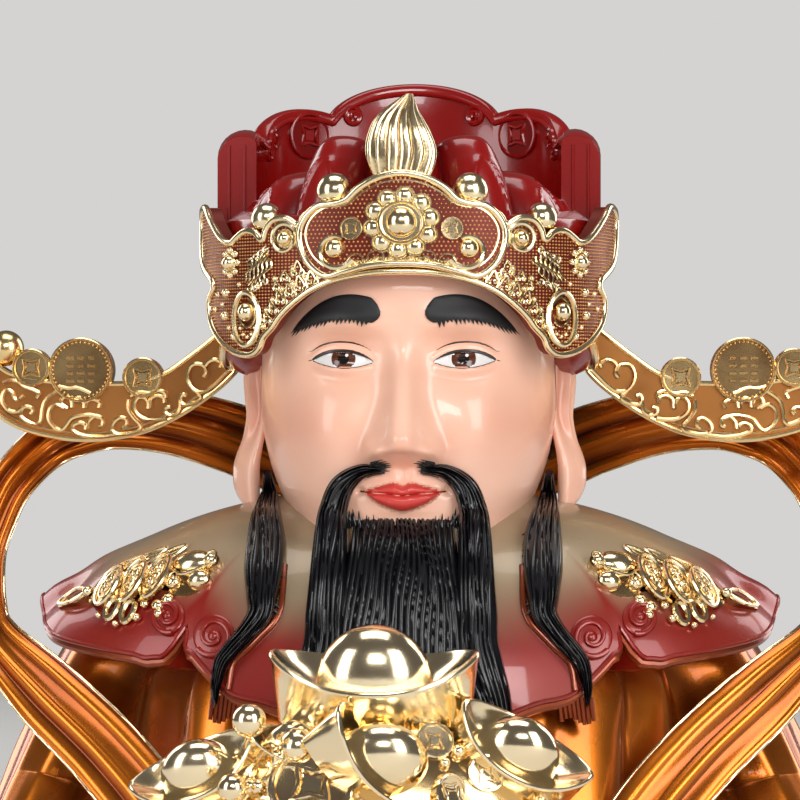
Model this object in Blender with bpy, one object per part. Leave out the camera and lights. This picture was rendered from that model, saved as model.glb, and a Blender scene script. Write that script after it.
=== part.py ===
"""Bust of a caishen, a god of wealth, in painted and gilded cast resin.

Lengths are in millimetres and angles in degrees until a mesh is made.
+Z is up, the figure faces -Y, and the origin is in the middle of the flat underside.
"""
import math

import bmesh
import bpy
import numpy as np
from mathutils import Matrix, Vector
from mathutils.bvhtree import BVHTree
from mathutils.geometry import delaunay_2d_cdt

MM = 0.001
GAP = 0.35
WELD = 0.004
FLAT = 3.0

# Head: height, half width, reach to the front and to the back of its axis
HEAD_AXIS_Y = -2.0
HEAD_RINGS = (
    (104, 20, 4, 32),
    (112, 25, 22, 36),
    (118, 29, 42, 39),
    (126, 35, 50, 42),
    (136, 41, 51.5, 44),
    (150, 47, 51.5, 47),
    (168, 51, 52, 50),
    (190, 51, 51.5, 51),
    (208, 50.5, 53.5, 50),
    (226, 47, 51, 47),
)
HEAD_POWER = 2.25
EYE_X = 20.5
EYE_Z = 188.0
# Nose: height and how far its ridge stands out
NOSE_PROFILE = (
    (150, 0), (153, 1), (155, 6), (157.5, 13), (161, 15.5),
    (166, 13.5), (174, 9), (184, 5), (192, 2), (199, 0),
)
MOUTH_Z = 143.5

# Shoulders: the dome that the cloud collar lies on
SHOULDER_HALF_WIDTH = 150.0
SHOULDER_DEPTH = 75.6
SHOULDER_FOOT_Z = 40.0
SHOULDER_RISE = 105.0
SHOULDER_POWER = 2.2
COLLAR_THICK = 3.5
# Edge of the collar in a quarter turn from the front: turn and how far down the dome it reaches
COLLAR_EDGE = (
    (0, 81), (10, 76), (20, 72), (25, 67), (28, 61), (32, 57),
    (35, 60), (40, 64), (50, 63.5), (64, 62.6), (80, 61), (90, 59.5),
)
# Curled ends of the collar's lobes: place to the side and to the front
COLLAR_SCROLLS = ((79, -52), (63, -60))
COLLAR_TIP_OUT = 4.0
COLLAR_TIP_UP = 4.5

# Hat
BAND_HALF_WIDTH = 65.0
BAND_FRONT = 62.5
BAND_BACK = 57.0
BAND_TOP_Z = 236.0
BAND_LOW_Z = 183.0
BAND_BROW_RISE = 36.0
CAP_AXIS_Y = -4.0
CAP_HALF_WIDTH = 59.0
CAP_HALF_DEPTH = 54.0
CAP_FOOT_Z = 228.0
# How high the cap's petals rise: turn from the front and height over its foot
CAP_PETALS = ((0, 42), (22, 40), (40, 28), (55, 24), (80, 21), (110, 19), (180, 19))
CAP_MIDDLE = 27.0
# Rings of the cap: share of its radius, share of its height, how far that height is the middle's
CAP_ROWS = ((1.0, 0.0, 0.0), (0.97, 0.38, 0.0), (0.87, 0.80, 0.0), (0.72, 1.0, 0.0), (0.34, 1.0, 0.87))
CAP_RIBS = 14
CLOUD_HALF_WIDTH = 67.0
CLOUD_HALF_DEPTH = 56.0
CLOUD_FOOT_Z = 205.0
# Lobes of the cloud plate behind the cap: middle, half angle, top height, drop at the lobe's ends
CLOUD_LOBES = ((0, 30, 290.5, 17.4), (38, 24, 280.5, 17.5), (76, 24, 270.5, 8))
CLOUD_END = 96.0
# Coin on each second lobe: turn, height, radius
CLOUD_COIN = (38, 269.4, 6.6)
CROWN_HALF_WIDTH = 72.0
CROWN_HALF_DEPTH = 66.0
CROWN_THICK = 5.0
FLAME_FLUTES = 7

# Arms: centre and radius of the sleeve from the shoulder to below the cut
SLEEVE_PATH = (
    (78, 2, 92, 30), (92, 4, 74, 33), (101, 5, 54, 33.5),
    (108, 3, 34, 35), (112, -6, 14, 37), (111, -16, -12, 38),
)
SLEEVE_SIDES = 16
SLEEVE_FOLD = 4.2

# Scarf: half of its middle line, from behind the head to the cut, with its half width at each point
SCARF_PATH = (
    (0, 60, 150, 13), (40, 58, 151, 13), (66, 48, 161, 12.8), (88, 42, 167, 11.8), (108, 37, 168, 10.8),
    (122, 33, 164, 9.5), (132.7, 30, 157.5, 8.5), (142.4, 18, 145.5, 8), (146.7, 6, 132.5, 7.5),
    (148.5, -6, 120, 7.5), (146, -22, 103.5, 8), (140, -33, 93, 8.5), (122, -46, 77, 12), (99, -58, 57, 13),
    (80, -68, 35, 13.5), (69, -74, 12, 13.5), (66, -76, -12, 13.5),
)
SCARF_THICK = 4.6

# Hat wings: lower and upper edge from the hat outward, in the plane of the wing
WING_Y = 21.0
WING_THICK = 6.0
WING_LOWER = (
    (62.8, 185), (68, 180), (76, 174), (86, 168), (98, 163.2),
    (114, 161), (130, 162.5), (144, 167.5), (157, 178),
)
WING_UPPER = (
    (150, 189), (142, 184), (128, 181.5), (115, 181), (100, 181),
    (88, 184.3), (78, 191), (69, 198), (62.8, 203),
)
WING_TIP = (159, 188)
WING_TIP_RADIUS = 9.5
WING_COINS = ((95.6, 183, 7.2), (117.7, 185.7, 11.5), (135.5, 186.5, 6.8))
WING_PEARL = (145, 193.5, 6.4)


def clamp(value, low=0.0, high=1.0):
    return max(low, min(high, value))


def ease(low, high, value):
    t = clamp((value - low) / (high - low))
    return t * t * (3 - 2 * t)


def follow(table, value, column=1):
    """Smooth value of a table whose first column rises."""
    keys = [row[0] for row in table]
    values = [row[column] for row in table]
    if value <= keys[0]:
        return values[0]
    if value >= keys[-1]:
        return values[-1]
    k = max(i for i, key in enumerate(keys) if key <= value)
    t = (value - keys[k]) / (keys[k + 1] - keys[k])
    slopes = np.gradient(np.array(values, dtype=float), np.array(keys, dtype=float))
    step = keys[k + 1] - keys[k]
    a = (2 * t**3 - 3 * t**2 + 1) * values[k] + (t**3 - 2 * t**2 + t) * step * slopes[k]
    b = (3 * t**2 - 2 * t**3) * values[k + 1] + (t**3 - t**2) * step * slopes[k + 1]
    return a + b


def bent(value, power):
    """Signed power, which turns a circle into a superellipse."""
    return math.copysign(abs(value) ** (2 / power), value)


def spline(points, count):
    """Evenly spaced points on a smooth curve through the given ones."""
    points = np.array(points, dtype=float)
    padded = np.vstack([2 * points[0] - points[1], points, 2 * points[-1] - points[-2]])
    fine = []
    for k in range(1, len(padded) - 2):
        p0, p1, p2, p3 = padded[k - 1:k + 3]
        for t in np.linspace(0, 1, 12, endpoint=False):
            fine.append(0.5 * (2 * p1 + (p2 - p0) * t + (2 * p0 - 5 * p1 + 4 * p2 - p3) * t**2
                               + (3 * p1 - p0 - 3 * p2 + p3) * t**3))
    fine.append(padded[-2])
    fine = np.array(fine)
    length = np.concatenate([[0], np.cumsum(np.linalg.norm(np.diff(fine, axis=0), axis=1))])
    wanted = np.linspace(0, length[-1], count)
    return np.stack([np.interp(wanted, length, fine[:, i]) for i in range(fine.shape[1])], axis=1)


def solid(name, verts, faces):
    """One closed, outward-facing mesh object from points in millimetres."""
    mesh = bpy.data.meshes.new(name)
    mesh.from_pydata([tuple(float(c) * MM for c in v) for v in verts], [], faces)
    shape = bmesh.new()
    shape.from_mesh(mesh)
    bmesh.ops.triangulate(shape, faces=shape.faces)
    bmesh.ops.recalc_face_normals(shape, faces=shape.faces)
    shape.to_mesh(mesh)
    shape.free()
    thing = bpy.data.objects.new(name, mesh)
    bpy.context.scene.collection.objects.link(thing)
    return thing


def loft(name, rings):
    """Closed skin over rings of points; a fan closes each end."""
    count = len(rings[0])
    verts = [tuple(p) for ring in rings for p in ring]
    faces = []
    for k in range(len(rings) - 1):
        for j in range(count):
            a = k * count + j
            b = k * count + (j + 1) % count
            faces.append((a, b, b + count, a + count))
    for start in (0, (len(rings) - 1) * count):
        middle = len(verts)
        verts.append(tuple(np.mean(verts[start:start + count], axis=0)))
        faces += [(start + j, start + (j + 1) % count, middle) for j in range(count)]
    return solid(name, verts, faces)


def inside(point, outline):
    hit = False
    for (x0, y0), (x1, y1) in zip(outline, outline[1:] + outline[:1]):
        if (y0 > point[1]) != (y1 > point[1]):
            if point[0] < x0 + (point[1] - y0) * (x1 - x0) / (y1 - y0):
                hit = not hit
    return hit


def slab(name, outline, surface, thick, step=None):
    """Plate with a flat outline laid on a curved surface(u, v, depth)."""
    outline = [tuple(p) for p in outline]
    points = list(outline)
    if step:
        low = np.min(outline, axis=0)
        high = np.max(outline, axis=0)
        for u in np.arange(low[0] + step[0] / 2, high[0], step[0]):
            for v in np.arange(low[1] + step[1] / 2, high[1], step[1]):
                near = min(math.hypot((u - a) / step[0], (v - b) / step[1]) for a, b in outline)
                if near > 0.4 and inside((u, v), outline):
                    points.append((u, v))
    ring = list(range(len(outline)))
    found = delaunay_2d_cdt([Vector(p) for p in points], [], [ring], 1, 1e-5)
    flat, triangles = found[0], found[2]
    count = len(flat)
    verts = [surface(p[0], p[1], 0.0) for p in flat] + [surface(p[0], p[1], thick) for p in flat]
    faces = [tuple(t) for t in triangles] + [tuple(i + count for i in reversed(t)) for t in triangles]
    used = {}
    for t in triangles:
        for a, b in zip(t, list(t[1:]) + [t[0]]):
            used[(a, b)] = True
    faces += [(b, a, a + count, b + count) for a, b in used if (b, a) not in used]
    return solid(name, verts, faces)


def button(name, centre, normal, profile, sides=12, scallop=0.0, stretch=1.0):
    """Turned boss from a profile of radius and height over the surface; a scallop notches its rim."""
    n = Vector(normal).normalized()
    right = Vector((0, 0, 1)).cross(n).normalized()
    top = n.cross(right)
    widest = max(radius for radius, height in profile)
    rings = []
    for radius, height in profile:
        ring = []
        for j in range(sides):
            angle = 2 * math.pi * j / sides
            r = radius * (1 - scallop * (j % 2)) if radius > 0.9 * widest else radius
            flat = right * (r * math.sin(angle)) + top * (r * stretch * math.cos(angle))
            ring.append(Vector(centre) + flat + n * height)
        rings.append(ring)
    return loft(name, rings)


def ball(name, centre, radius, sides=9, rows=5):
    rings = []
    for k in range(1, rows):
        up = math.pi * k / rows
        rings.append([
            (centre[0] + radius * math.sin(up) * math.sin(2 * math.pi * j / sides),
             centre[1] + radius * math.sin(up) * math.cos(2 * math.pi * j / sides),
             centre[2] - radius * math.cos(up))
            for j in range(sides)
        ])
    thing = loft(name, rings)
    for vert, sign in zip(thing.data.vertices[-2:], (-1, 1)):
        vert.co.z = (centre[2] + sign * radius) * MM
    return thing


def joined(name, base, others):
    """One body from overlapping ones."""
    group = bpy.data.collections.new(name + "_parts")
    bpy.context.scene.collection.children.link(group)
    for thing in others:
        bpy.context.scene.collection.objects.unlink(thing)
        group.objects.link(thing)
    union = base.modifiers.new("union", "BOOLEAN")
    union.operation = "UNION"
    union.operand_type = "COLLECTION"
    union.collection = group
    union.solver = "EXACT"
    bpy.context.view_layer.update()
    evaluated = base.evaluated_get(bpy.context.evaluated_depsgraph_get())
    mesh = bpy.data.meshes.new_from_object(evaluated)
    base.modifiers.clear()
    base.data = mesh
    base.name = name
    mesh.name = name
    for thing in others:
        bpy.data.objects.remove(thing)
    bpy.data.collections.remove(group)
    return base


def cut_flat(thing, height=0.0):
    """Cut away what is below a height and close the cut."""
    shape = bmesh.new()
    shape.from_mesh(thing.data)
    everything = list(shape.verts) + list(shape.edges) + list(shape.faces)
    cut = bmesh.ops.bisect_plane(shape, geom=everything, plane_co=(0, 0, height * MM), plane_no=(0, 0, 1),
                                 clear_inner=True, dist=1e-6)
    rim = [item for item in cut["geom_cut"] if isinstance(item, bmesh.types.BMEdge)]
    bmesh.ops.contextual_create(shape, geom=rim)
    bmesh.ops.triangulate(shape, faces=shape.faces)
    bmesh.ops.recalc_face_normals(shape, faces=shape.faces)
    shape.to_mesh(thing.data)
    shape.free()


def tidy(thing):
    """Weld the slivers that a union leaves and shade the piece."""
    shape = bmesh.new()
    shape.from_mesh(thing.data)
    bmesh.ops.remove_doubles(shape, verts=shape.verts, dist=WELD * MM)
    bmesh.ops.dissolve_degenerate(shape, edges=shape.edges, dist=WELD * MM)
    bmesh.ops.dissolve_limit(shape, angle_limit=math.radians(FLAT), verts=shape.verts, edges=shape.edges)
    bmesh.ops.triangulate(shape, faces=shape.faces)
    bmesh.ops.recalc_face_normals(shape, faces=shape.faces)
    shape.to_mesh(thing.data)
    shape.free()
    thing.data.shade_smooth()
    thing.data.set_sharp_from_angle(angle=math.radians(38))


def paint(thing, colour, roughness, metallic):
    finish = bpy.data.materials.new(thing.name)
    finish.use_nodes = True
    shader = finish.node_tree.nodes["Principled BSDF"]
    shader.inputs["Base Color"].default_value = (*colour, 1)
    shader.inputs["Roughness"].default_value = roughness
    shader.inputs["Metallic"].default_value = metallic
    thing.data.materials.clear()
    thing.data.materials.append(finish)


# Head and face

def bump(x, z, cx, cz, sx, sz, height):
    return height * math.exp(-((x - cx) / sx) ** 2 - ((z - cz) / sz) ** 2)


def face_relief(x, z):
    """How far the face stands out of the plain head at a place seen from the front."""
    side = abs(x)
    nose_width = 5.5 + 3.0 * ease(180, 160, z)
    nose = follow(NOSE_PROFILE, z) * math.exp(-(abs(x) / nose_width) ** 2.4)
    out = nose
    out += bump(side, z, 9.5, 157.5, 4.2, 3.8, 5.5)
    out += bump(side, z, 21, 200, 15, 4.8, 3.0)
    out += bump(side, z, EYE_X - 2, EYE_Z + 1.5, 13, 8, -6.5)
    out += bump(side, z, EYE_X, EYE_Z, 8.5, 4.6, 5.6)
    out += bump(side, z, 27, 165, 15, 14, 4.2)
    out += bump(x, z, 0, 127, 15, 8, 4.5)
    out += bump(x, z, 0, MOUTH_Z + 3.2, 14, 2.8, 4.0)
    out += bump(x, z, 0, MOUTH_Z - 3.8, 11, 3.2, 4.4)
    out += bump(x, z, 0, MOUTH_Z, 18, 1.3, -2.0)
    out += bump(x, z, 0, 134.5, 12, 3, -2.0)
    return out


def head_point(angle, z):
    """Point of the head's skin; the angle turns from the front to the figure's sides."""
    width = follow(HEAD_RINGS, z, 1)
    turn = math.radians(angle)
    x = width * bent(math.sin(turn), HEAD_POWER)
    forward = math.cos(turn)
    reach = follow(HEAD_RINGS, z, 2 if forward > 0 else 3)
    y = HEAD_AXIS_Y - reach * bent(forward, HEAD_POWER)
    if forward > 0:
        y -= face_relief(x, z) * ease(0.0, 0.35, forward)
    return x, y, z


def head():
    front = (0, 4, 8, 13, 18.5, 24, 30, 38, 48, 60, 76)
    angles = [-a for a in reversed(front[1:])] + list(front) + [100, 140, 180, -140, -100]
    heights = (104, 113, 118.5, 124, 129, 134, 138, 141, 143.5, 146.5, 150, 154, 157, 161, 166, 173,
               180, 184, 187.5, 191, 196, 204, 216, 226)
    return loft("head", [[head_point(a, z) for a in angles] for z in heights])


def ear(side):
    """Ear with the long lobe of a god of fortune."""
    # rows: height, half depth, half thickness, middle to the side, middle to the back
    rows = ((193, 3, 2.5, 51, 6), (188, 7, 4.5, 53.5, 6), (180, 9.5, 5, 55, 5), (168, 8.5, 5, 55, 3),
            (157, 7.5, 5.5, 55, 1), (147, 7, 6, 55, 0), (137, 3, 3, 55, 0))
    rings = []
    for z, depth, thick, x, y in rows:
        ring = []
        for a in np.linspace(0, 2 * math.pi, 9)[:-1]:
            lean = 0.25 * depth * math.cos(a)
            ring.append((side * (x + thick * math.sin(a) - lean), y + depth * math.cos(a), z))
        rings.append(ring)
    return loft("ear", rings)


def strand(name, rows, steps, ridges=2, ridge=0.9):
    """Lock of hair: a flattened tube along a smooth line, with its strands as ridges in front.

    Each row is a point of the middle line, the half width and the thickness there.
    """
    rows = spline(rows, steps)
    line = rows[:, :3]
    half_widths = rows[:, 3]
    thicks = rows[:, 4]
    front = 2 * ridges
    section = []
    for k in range(front + 1):
        w = 1 - 2 * k / front
        lift = 0 if k in (0, front) else (ridge if k % 2 else -0.4 * ridge)
        section.append((w, math.sqrt(1 - w * w), lift))
    section += [(-0.6, -0.7, 0), (0.6, -0.7, 0)]
    rings = []
    for k, centre in enumerate(line):
        along = Vector(line[min(k + 1, steps - 1)] - line[max(k - 1, 0)]).normalized()
        across = along.cross(Vector((0, -1, 0))).normalized()
        out = across.cross(along).normalized()
        if out.y > 0:
            out = -out
        combed = 0 if k in (0, steps - 1) else 1
        rings.append([Vector(centre) + across * (half_widths[k] * w) + out * (thicks[k] * d + combed * lift)
                      for w, d, lift in section])
    return loft(name, rings)


def on_chest(x, z, off):
    """Point that stands off the front of the shoulder dome."""
    across = (abs(x) / SHOULDER_HALF_WIDTH) ** SHOULDER_POWER
    share = ((z - SHOULDER_FOOT_Z) / SHOULDER_RISE) ** SHOULDER_POWER + across
    return x, -SHOULDER_DEPTH * max(1 - share, 0.0) ** (1 / SHOULDER_POWER) - off, z


# Beard, and one side's moustache: point of the middle line, half width, thickness
BEARD = (
    (0, -48, 133, 18.5, 5), (0, -57, 122, 19, 6.5), (0, -65, 108, 21, 6.5),
    (0, -71, 92, 23, 6), (0, -76, 76, 24.5, 5.5), (0, -78, 60, 23, 4),
)
MOUSTACHE = (
    (6, -54.5, 151.5, 1.2, 1.2), (14, -54, 151, 2.6, 2.6), (20.5, -52, 146, 4.2, 3.6),
    (23.5, -52, 138, 4.8, 4.2), (24, -56, 131, 5.5, 4.5), (24.4, -60, 121, 6, 4.8),
    (24.6, -64, 113, 6.4, 5), (25, -67, 104, 6.8, 5), (25.2, -71, 95, 7, 5),
    (27, -74, 87, 7, 5), (30.5, -77, 76, 6, 4.5), (33, -79, 64, 3.5, 3),
)
# Side lock: place to the side, height, how far it stands off the chest, half width, thickness
SIDE_LOCK = (
    (49, 150, 10, 1.2, 1.6), (48.5, 141, 4, 2.2, 2.6), (47, 134, 4, 5, 3.6), (46.7, 127, 3, 6.6, 4.2),
    (46.7, 118, 3, 6.6, 4.2), (46.8, 110, 3, 5.4, 4.0), (47.3, 104, 3, 4.4, 3.8), (51.2, 98.3, 3, 3.4, 3.4),
    (56.3, 92.5, 3, 3.1, 3.2), (59.5, 88, 3, 2.7, 3.0), (60.5, 82, 3, 2.4, 2.6), (61, 75, 2, 2.2, 2.2),
)


def beard():
    """Beard over the chest, the two moustache falls and the two side locks."""
    parts = [strand("beard", BEARD, 6, ridges=6, ridge=1.3)]
    for side in (-1, 1):
        fall = [(side * x, y, z, width, thick) for x, y, z, width, thick in MOUSTACHE]
        lock = [(*on_chest(side * x, z, off), width, thick) for x, z, off, width, thick in SIDE_LOCK]
        parts += [strand("moustache", fall, 8), strand("side_lock", lock, 8)]
    return parts


# Robe and collar

def shoulder_point(phi, mu, raise_by=0.0):
    """Point of the shoulder dome: phi turns from the front to the side, mu goes down from the neck."""
    turn = math.radians(phi)
    down = math.radians(mu)
    out = bent(math.sin(down), SHOULDER_POWER)
    return (SHOULDER_HALF_WIDTH * bent(math.sin(turn), SHOULDER_POWER) * out,
            -SHOULDER_DEPTH * bent(math.cos(turn), SHOULDER_POWER) * out,
            SHOULDER_FOOT_Z + SHOULDER_RISE * bent(math.cos(down), SHOULDER_POWER) + raise_by)


def collar_edge(phi):
    """Steepness mu of the lobed edge, alike in the four quarters."""
    quarter = abs(phi)
    if quarter > 90:
        quarter = 180 - quarter
    return float(np.interp(quarter, [row[0] for row in COLLAR_EDGE], [row[1] for row in COLLAR_EDGE]))


def collar():
    """Cloud collar with four lobes, filled below to its edge."""
    quarter = [row[0] for row in COLLAR_EDGE]
    half = list(quarter) + [180 - q for q in reversed(quarter[:-1])]
    turns = half + [-h for h in reversed(half[1:-1])]
    rings = []
    for share in (0.12, 0.45, 0.75, 1.0):
        ring = []
        for phi in turns:
            x, y, z = shoulder_point(phi, collar_edge(phi) * share)
            tip = ease(12, 0, abs(abs(phi) - 90)) * ease(0.6, 1.0, share)
            ring.append((x + math.copysign(COLLAR_TIP_OUT * tip, x), y, z + COLLAR_TIP_UP * tip))
        rings.append(ring)
    edge = rings[-1]
    rings.append([(x * 0.985, y * 0.975, z - COLLAR_THICK) for x, y, z in edge])
    return loft("collar", rings)


def shoulder_normal(x, y):
    """Outward direction of the shoulder dome over a plan point."""
    step = 0.5
    slope_x = (shoulder_height(x + step, y) - shoulder_height(x - step, y)) / (2 * step)
    slope_y = (shoulder_height(x, y + step) - shoulder_height(x, y - step)) / (2 * step)
    return Vector((-slope_x, -slope_y, 1)).normalized()


def shoulder_height(x, y):
    far = (abs(x) / SHOULDER_HALF_WIDTH) ** SHOULDER_POWER + (abs(y) / SHOULDER_DEPTH) ** SHOULDER_POWER
    return SHOULDER_FOOT_Z + SHOULDER_RISE * max(1 - far, 0.0) ** (1 / SHOULDER_POWER)


def collar_scrolls():
    """Curled ends where the front lobe meets the shoulder lobes."""
    coil = ((8.6, -3), (8.2, 1.8), (5.4, 1.4), (2.8, 3.2))
    parts = []
    for side in (-1, 1):
        for x, y in COLLAR_SCROLLS:
            z = shoulder_height(x, y)
            parts.append(button("scroll", (side * x, y, z), shoulder_normal(side * x, y), coil, sides=9))
    return parts


# Fish on the shoulder: plan of its tail and nose, how far its body bows to the front, its plate
FISH_TAIL = (119, -20)
FISH_NOSE = (62, -46)
FISH_LENGTH = 62.0
FISH_BOW = 4.0
FISH_PROUD = 2.6
FISH_THICK = 5.0
# Length from the tail and half width
FISH_OUTLINE = (
    (0, 0.6), (9, 2.5), (14, 1.6), (17, 5), (24, 7), (31, 6.2),
    (38, 7.2), (44, 5.6), (47, 4.2), (52, 6.6), (58, 7), (FISH_LENGTH, 4),
)
FISH_BACK_SHARE = 1.25


def fish(side):
    """Gilt fish of coins on the shoulder: its outline runs from the tail to the head."""
    tail = Vector(FISH_TAIL)
    axis = (Vector(FISH_NOSE) - tail).normalized()
    cross = Vector((-axis.y, axis.x))
    outline = list(FISH_OUTLINE)
    outline += [(s, -FISH_BACK_SHARE * w) for s, w in reversed(FISH_OUTLINE)]

    def surface(s, w, depth):
        bow = FISH_BOW * math.sin(math.pi * s / FISH_LENGTH)
        plan = tail + axis * s + cross * (w + bow)
        x, y = side * plan.x, plan.y
        n = shoulder_normal(x, y)
        return Vector((x, y, shoulder_height(x, y))) + n * (FISH_PROUD - depth)

    return slab("fish", outline, surface, FISH_THICK)


# Trunk: height, half width, half depth, squareness, middle to the back
TRUNK_ROWS = (
    (-6, 98, 72, 2.4, -8), (34, 98, 72, 2.4, -8), (60, 98, 67, 2.3, -5),
    (84, 94, 60, 2.3, -1), (104, 80, 50, 2.2, 2), (134, 44, 36, 2.0, 2),
)
# Neck and inner collar: height and radius
NECK_ROWS = ((90, 40), (120, 37), (150, 36))
INNER_COLLAR_ROWS = ((104, 48), (126, 44), (137, 41.5))
NECK_Y = 4.5
INNER_COLLAR_DIP = 9.0


def robe():
    """Trunk of the robe, the neck and the stand-up inner collar."""
    turns = [math.radians(a) for a in range(0, 360, 15)]
    few = turns[::2]
    trunk = [[(a * bent(math.sin(t), p), y - b * bent(math.cos(t), p), z) for t in turns]
             for z, a, b, p, y in TRUNK_ROWS]
    neck = [[(r * math.sin(t), NECK_Y - r * math.cos(t), z) for t in few] for z, r in NECK_ROWS]
    band = [[(r * math.sin(t), NECK_Y - r * math.cos(t), z - INNER_COLLAR_DIP * math.cos(t)) for t in few]
            for z, r in INNER_COLLAR_ROWS]
    return [loft("trunk", trunk), loft("neck", neck), loft("inner_collar", band)]


def sleeve_ring(centre, along, radius, depth):
    """One turn of the sleeve with its folds, deeper toward the elbow."""
    right = along.cross(Vector((0, 1, 0))).normalized()
    front = right.cross(along).normalized()
    ring = []
    for j in range(SLEEVE_SIDES):
        a = 2 * math.pi * j / SLEEVE_SIDES
        fold = depth * (0.7 * math.cos(5 * a + 0.6) + 0.3 * math.cos(3 * a + 2.0))
        r = radius + fold
        ring.append(centre + right * (r * math.sin(a)) + front * (r * math.cos(a)))
    return ring


def sleeve(side):
    steps = 8
    rows = spline(SLEEVE_PATH, steps)
    line = rows[:, :3]
    rings = []
    for k in range(steps):
        along = Vector(line[min(k + 1, steps - 1)] - line[max(k - 1, 0)]).normalized()
        ring = sleeve_ring(Vector(line[k]), along, rows[k, 3], SLEEVE_FOLD * ease(0, 4, k))
        rings.append([(side * p.x, p.y, p.z) for p in ring])
    return loft("sleeve", rings)


# Hat

def band_foot(turn):
    """Lower edge of the hat: low behind the ears and high over the forehead."""
    return BAND_LOW_Z + BAND_BROW_RISE * ease(100, 30, abs(turn))


def hat_band():
    turns = list(range(-180, 180, 12))
    rings = []
    for share, scale in ((0.0, 0.88), (0.2, 1.0), (1.0, 1.0), (1.1, 0.9)):
        ring = []
        for turn in turns:
            low = band_foot(turn)
            a = math.radians(turn)
            reach = BAND_FRONT if abs(turn) < 90 else BAND_BACK
            ring.append((BAND_HALF_WIDTH * scale * math.sin(a), -reach * scale * math.cos(a),
                         low + share * (BAND_TOP_Z - low)))
        rings.append(ring)
    return loft("hat_band", rings)


def rib_swell(turn):
    """Bulge of the cap's petals, from the valley to the ridge."""
    return abs(math.cos(math.radians(turn) * CAP_RIBS / 2)) ** 0.7


def cap():
    """Cap of upright bulging petals in front of the cloud plate, tall in front and lower at the sides."""
    rib = 360 / CAP_RIBS
    turns = [t * rib / 3 for t in range(-13, 14)] + [125, 150, 180, -150, -125]
    rings = []
    for out, rise, inward in CAP_ROWS:
        ring = []
        for turn in turns:
            a = math.radians(turn)
            r = out * (0.86 + 0.17 * rib_swell(turn)) if abs(turn) < 115 else out * 0.95
            height = rise * ((1 - inward) * follow(CAP_PETALS, abs(turn)) + inward * CAP_MIDDLE)
            ring.append((CAP_HALF_WIDTH * r * math.sin(a), CAP_AXIS_Y - CAP_HALF_DEPTH * r * math.cos(a),
                         CAP_FOOT_Z + height))
        rings.append(ring)
    return loft("cap", rings)


def cloud_height(turn):
    """Top edge of the cloud plate: a row of round lobes."""
    tops = []
    for middle, half, top, drop in CLOUD_LOBES:
        across = abs(abs(turn) - middle) / half
        bowl = math.sqrt(1 - min(across, 1) ** 2)
        tops.append(top - drop * (1 - bowl) - 30 * max(0, across - 1))
    return max(tops)


def cloud_plate():
    """Upright plate with a cloud outline, bent round the back of the cap."""
    turns = [0, 11, 21, 28.2, 35, 44, 53, 60.7, 68, 77, 87, CLOUD_END]
    turns = [-t for t in reversed(turns[1:])] + turns
    rings = []
    for turn in turns:
        a = math.radians(turn)
        top = cloud_height(turn)
        thick = 5.5 + 4.5 * ease(45, 90, abs(turn))
        round_by = 1.2 + 3.3 * ease(60, 85, abs(turn))
        outer = np.array((CLOUD_HALF_WIDTH, CLOUD_HALF_DEPTH)) * (math.sin(a), math.cos(a))
        inner = outer - thick * np.array((math.sin(a), math.cos(a)))
        rings.append([(*outer, CLOUD_FOOT_Z), (*outer, top - round_by), (*(outer * 0.75 + inner * 0.25), top),
                      (*(outer * 0.25 + inner * 0.75), top), (*inner, top - 1.2), (*inner, CLOUD_FOOT_Z)])
    return loft("cloud_plate", rings)


def cloud_coins():
    """Coins in relief on the front of the cloud plate's second lobes."""
    parts = []
    turn, z, radius = CLOUD_COIN
    for side in (-1, 1):
        a = math.radians(turn * side)
        centre = Vector(((CLOUD_HALF_WIDTH - 5.5) * math.sin(a), (CLOUD_HALF_DEPTH - 5.5) * math.cos(a), z))
        facing = Vector((-math.sin(a) / CLOUD_HALF_WIDTH, -math.cos(a) / CLOUD_HALF_DEPTH, 0))
        profile = ((radius, -3), (radius, 1.4), (0.77 * radius, 0.8))
        parts.append(button("cloud_coin", centre, facing, profile, sides=10))
    return parts


def crown_surface(turn, z, depth):
    a = math.radians(turn)
    return ((CROWN_HALF_WIDTH - depth) * math.sin(a), -(CROWN_HALF_DEPTH - depth) * math.cos(a), z)


def mirrored(half):
    """Close a right-hand outline, listed from top middle to bottom middle, with its mirror image."""
    return list(half) + [(-u, v) for u, v in reversed(half) if abs(u) > 1e-6]


# Right-hand outlines of the crown's two layers: turn from the front and height
CROWN_SIDE = (
    (0, 244), (24, 238), (28.5, 233.5), (32.5, 235.6), (37, 235.3), (39.7, 232.2), (41, 228.5),
    (44, 231.3), (48, 232), (52, 230), (55, 228.3), (60, 229.8), (68, 236), (76, 241.5),
    (87, 238.5), (86, 231), (79, 222), (66, 215), (70, 209), (68, 201.5), (60.5, 195),
    (52.5, 191.2), (46, 190.3), (42.5, 192.3), (40.8, 196), (37.5, 199.5), (35, 203),
    (30.5, 207.5), (24.5, 212), (17, 215.2), (8, 217.2), (0, 217.6),
)
CROWN_MIDDLE = (
    (0, 250), (6, 248.6), (11, 245.2), (14.5, 241.2), (18, 240), (22, 239.4), (25.6, 236),
    (27.5, 231), (27, 225.5), (24.5, 220), (20, 216.2), (15, 217.5), (8, 219.6), (0, 220.2),
)
MIDDLE_PROUD = 1.8
MIDDLE_TURN = 28
ROSETTE_Z = 233.6

# Bosses of the crown: turn, height, radius, how much taller than wide
CROWN_BOSSES = ((18.5, 224.5, 4.2, 1), (33.5, 229.3, 4.2, 1), (55, 221.5, 4.4, 1), (47.5, 203.5, 6.2, 1.6))


def crown_middle_surface(turn, z, depth):
    return crown_surface(turn, z, depth - MIDDLE_PROUD)


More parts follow.
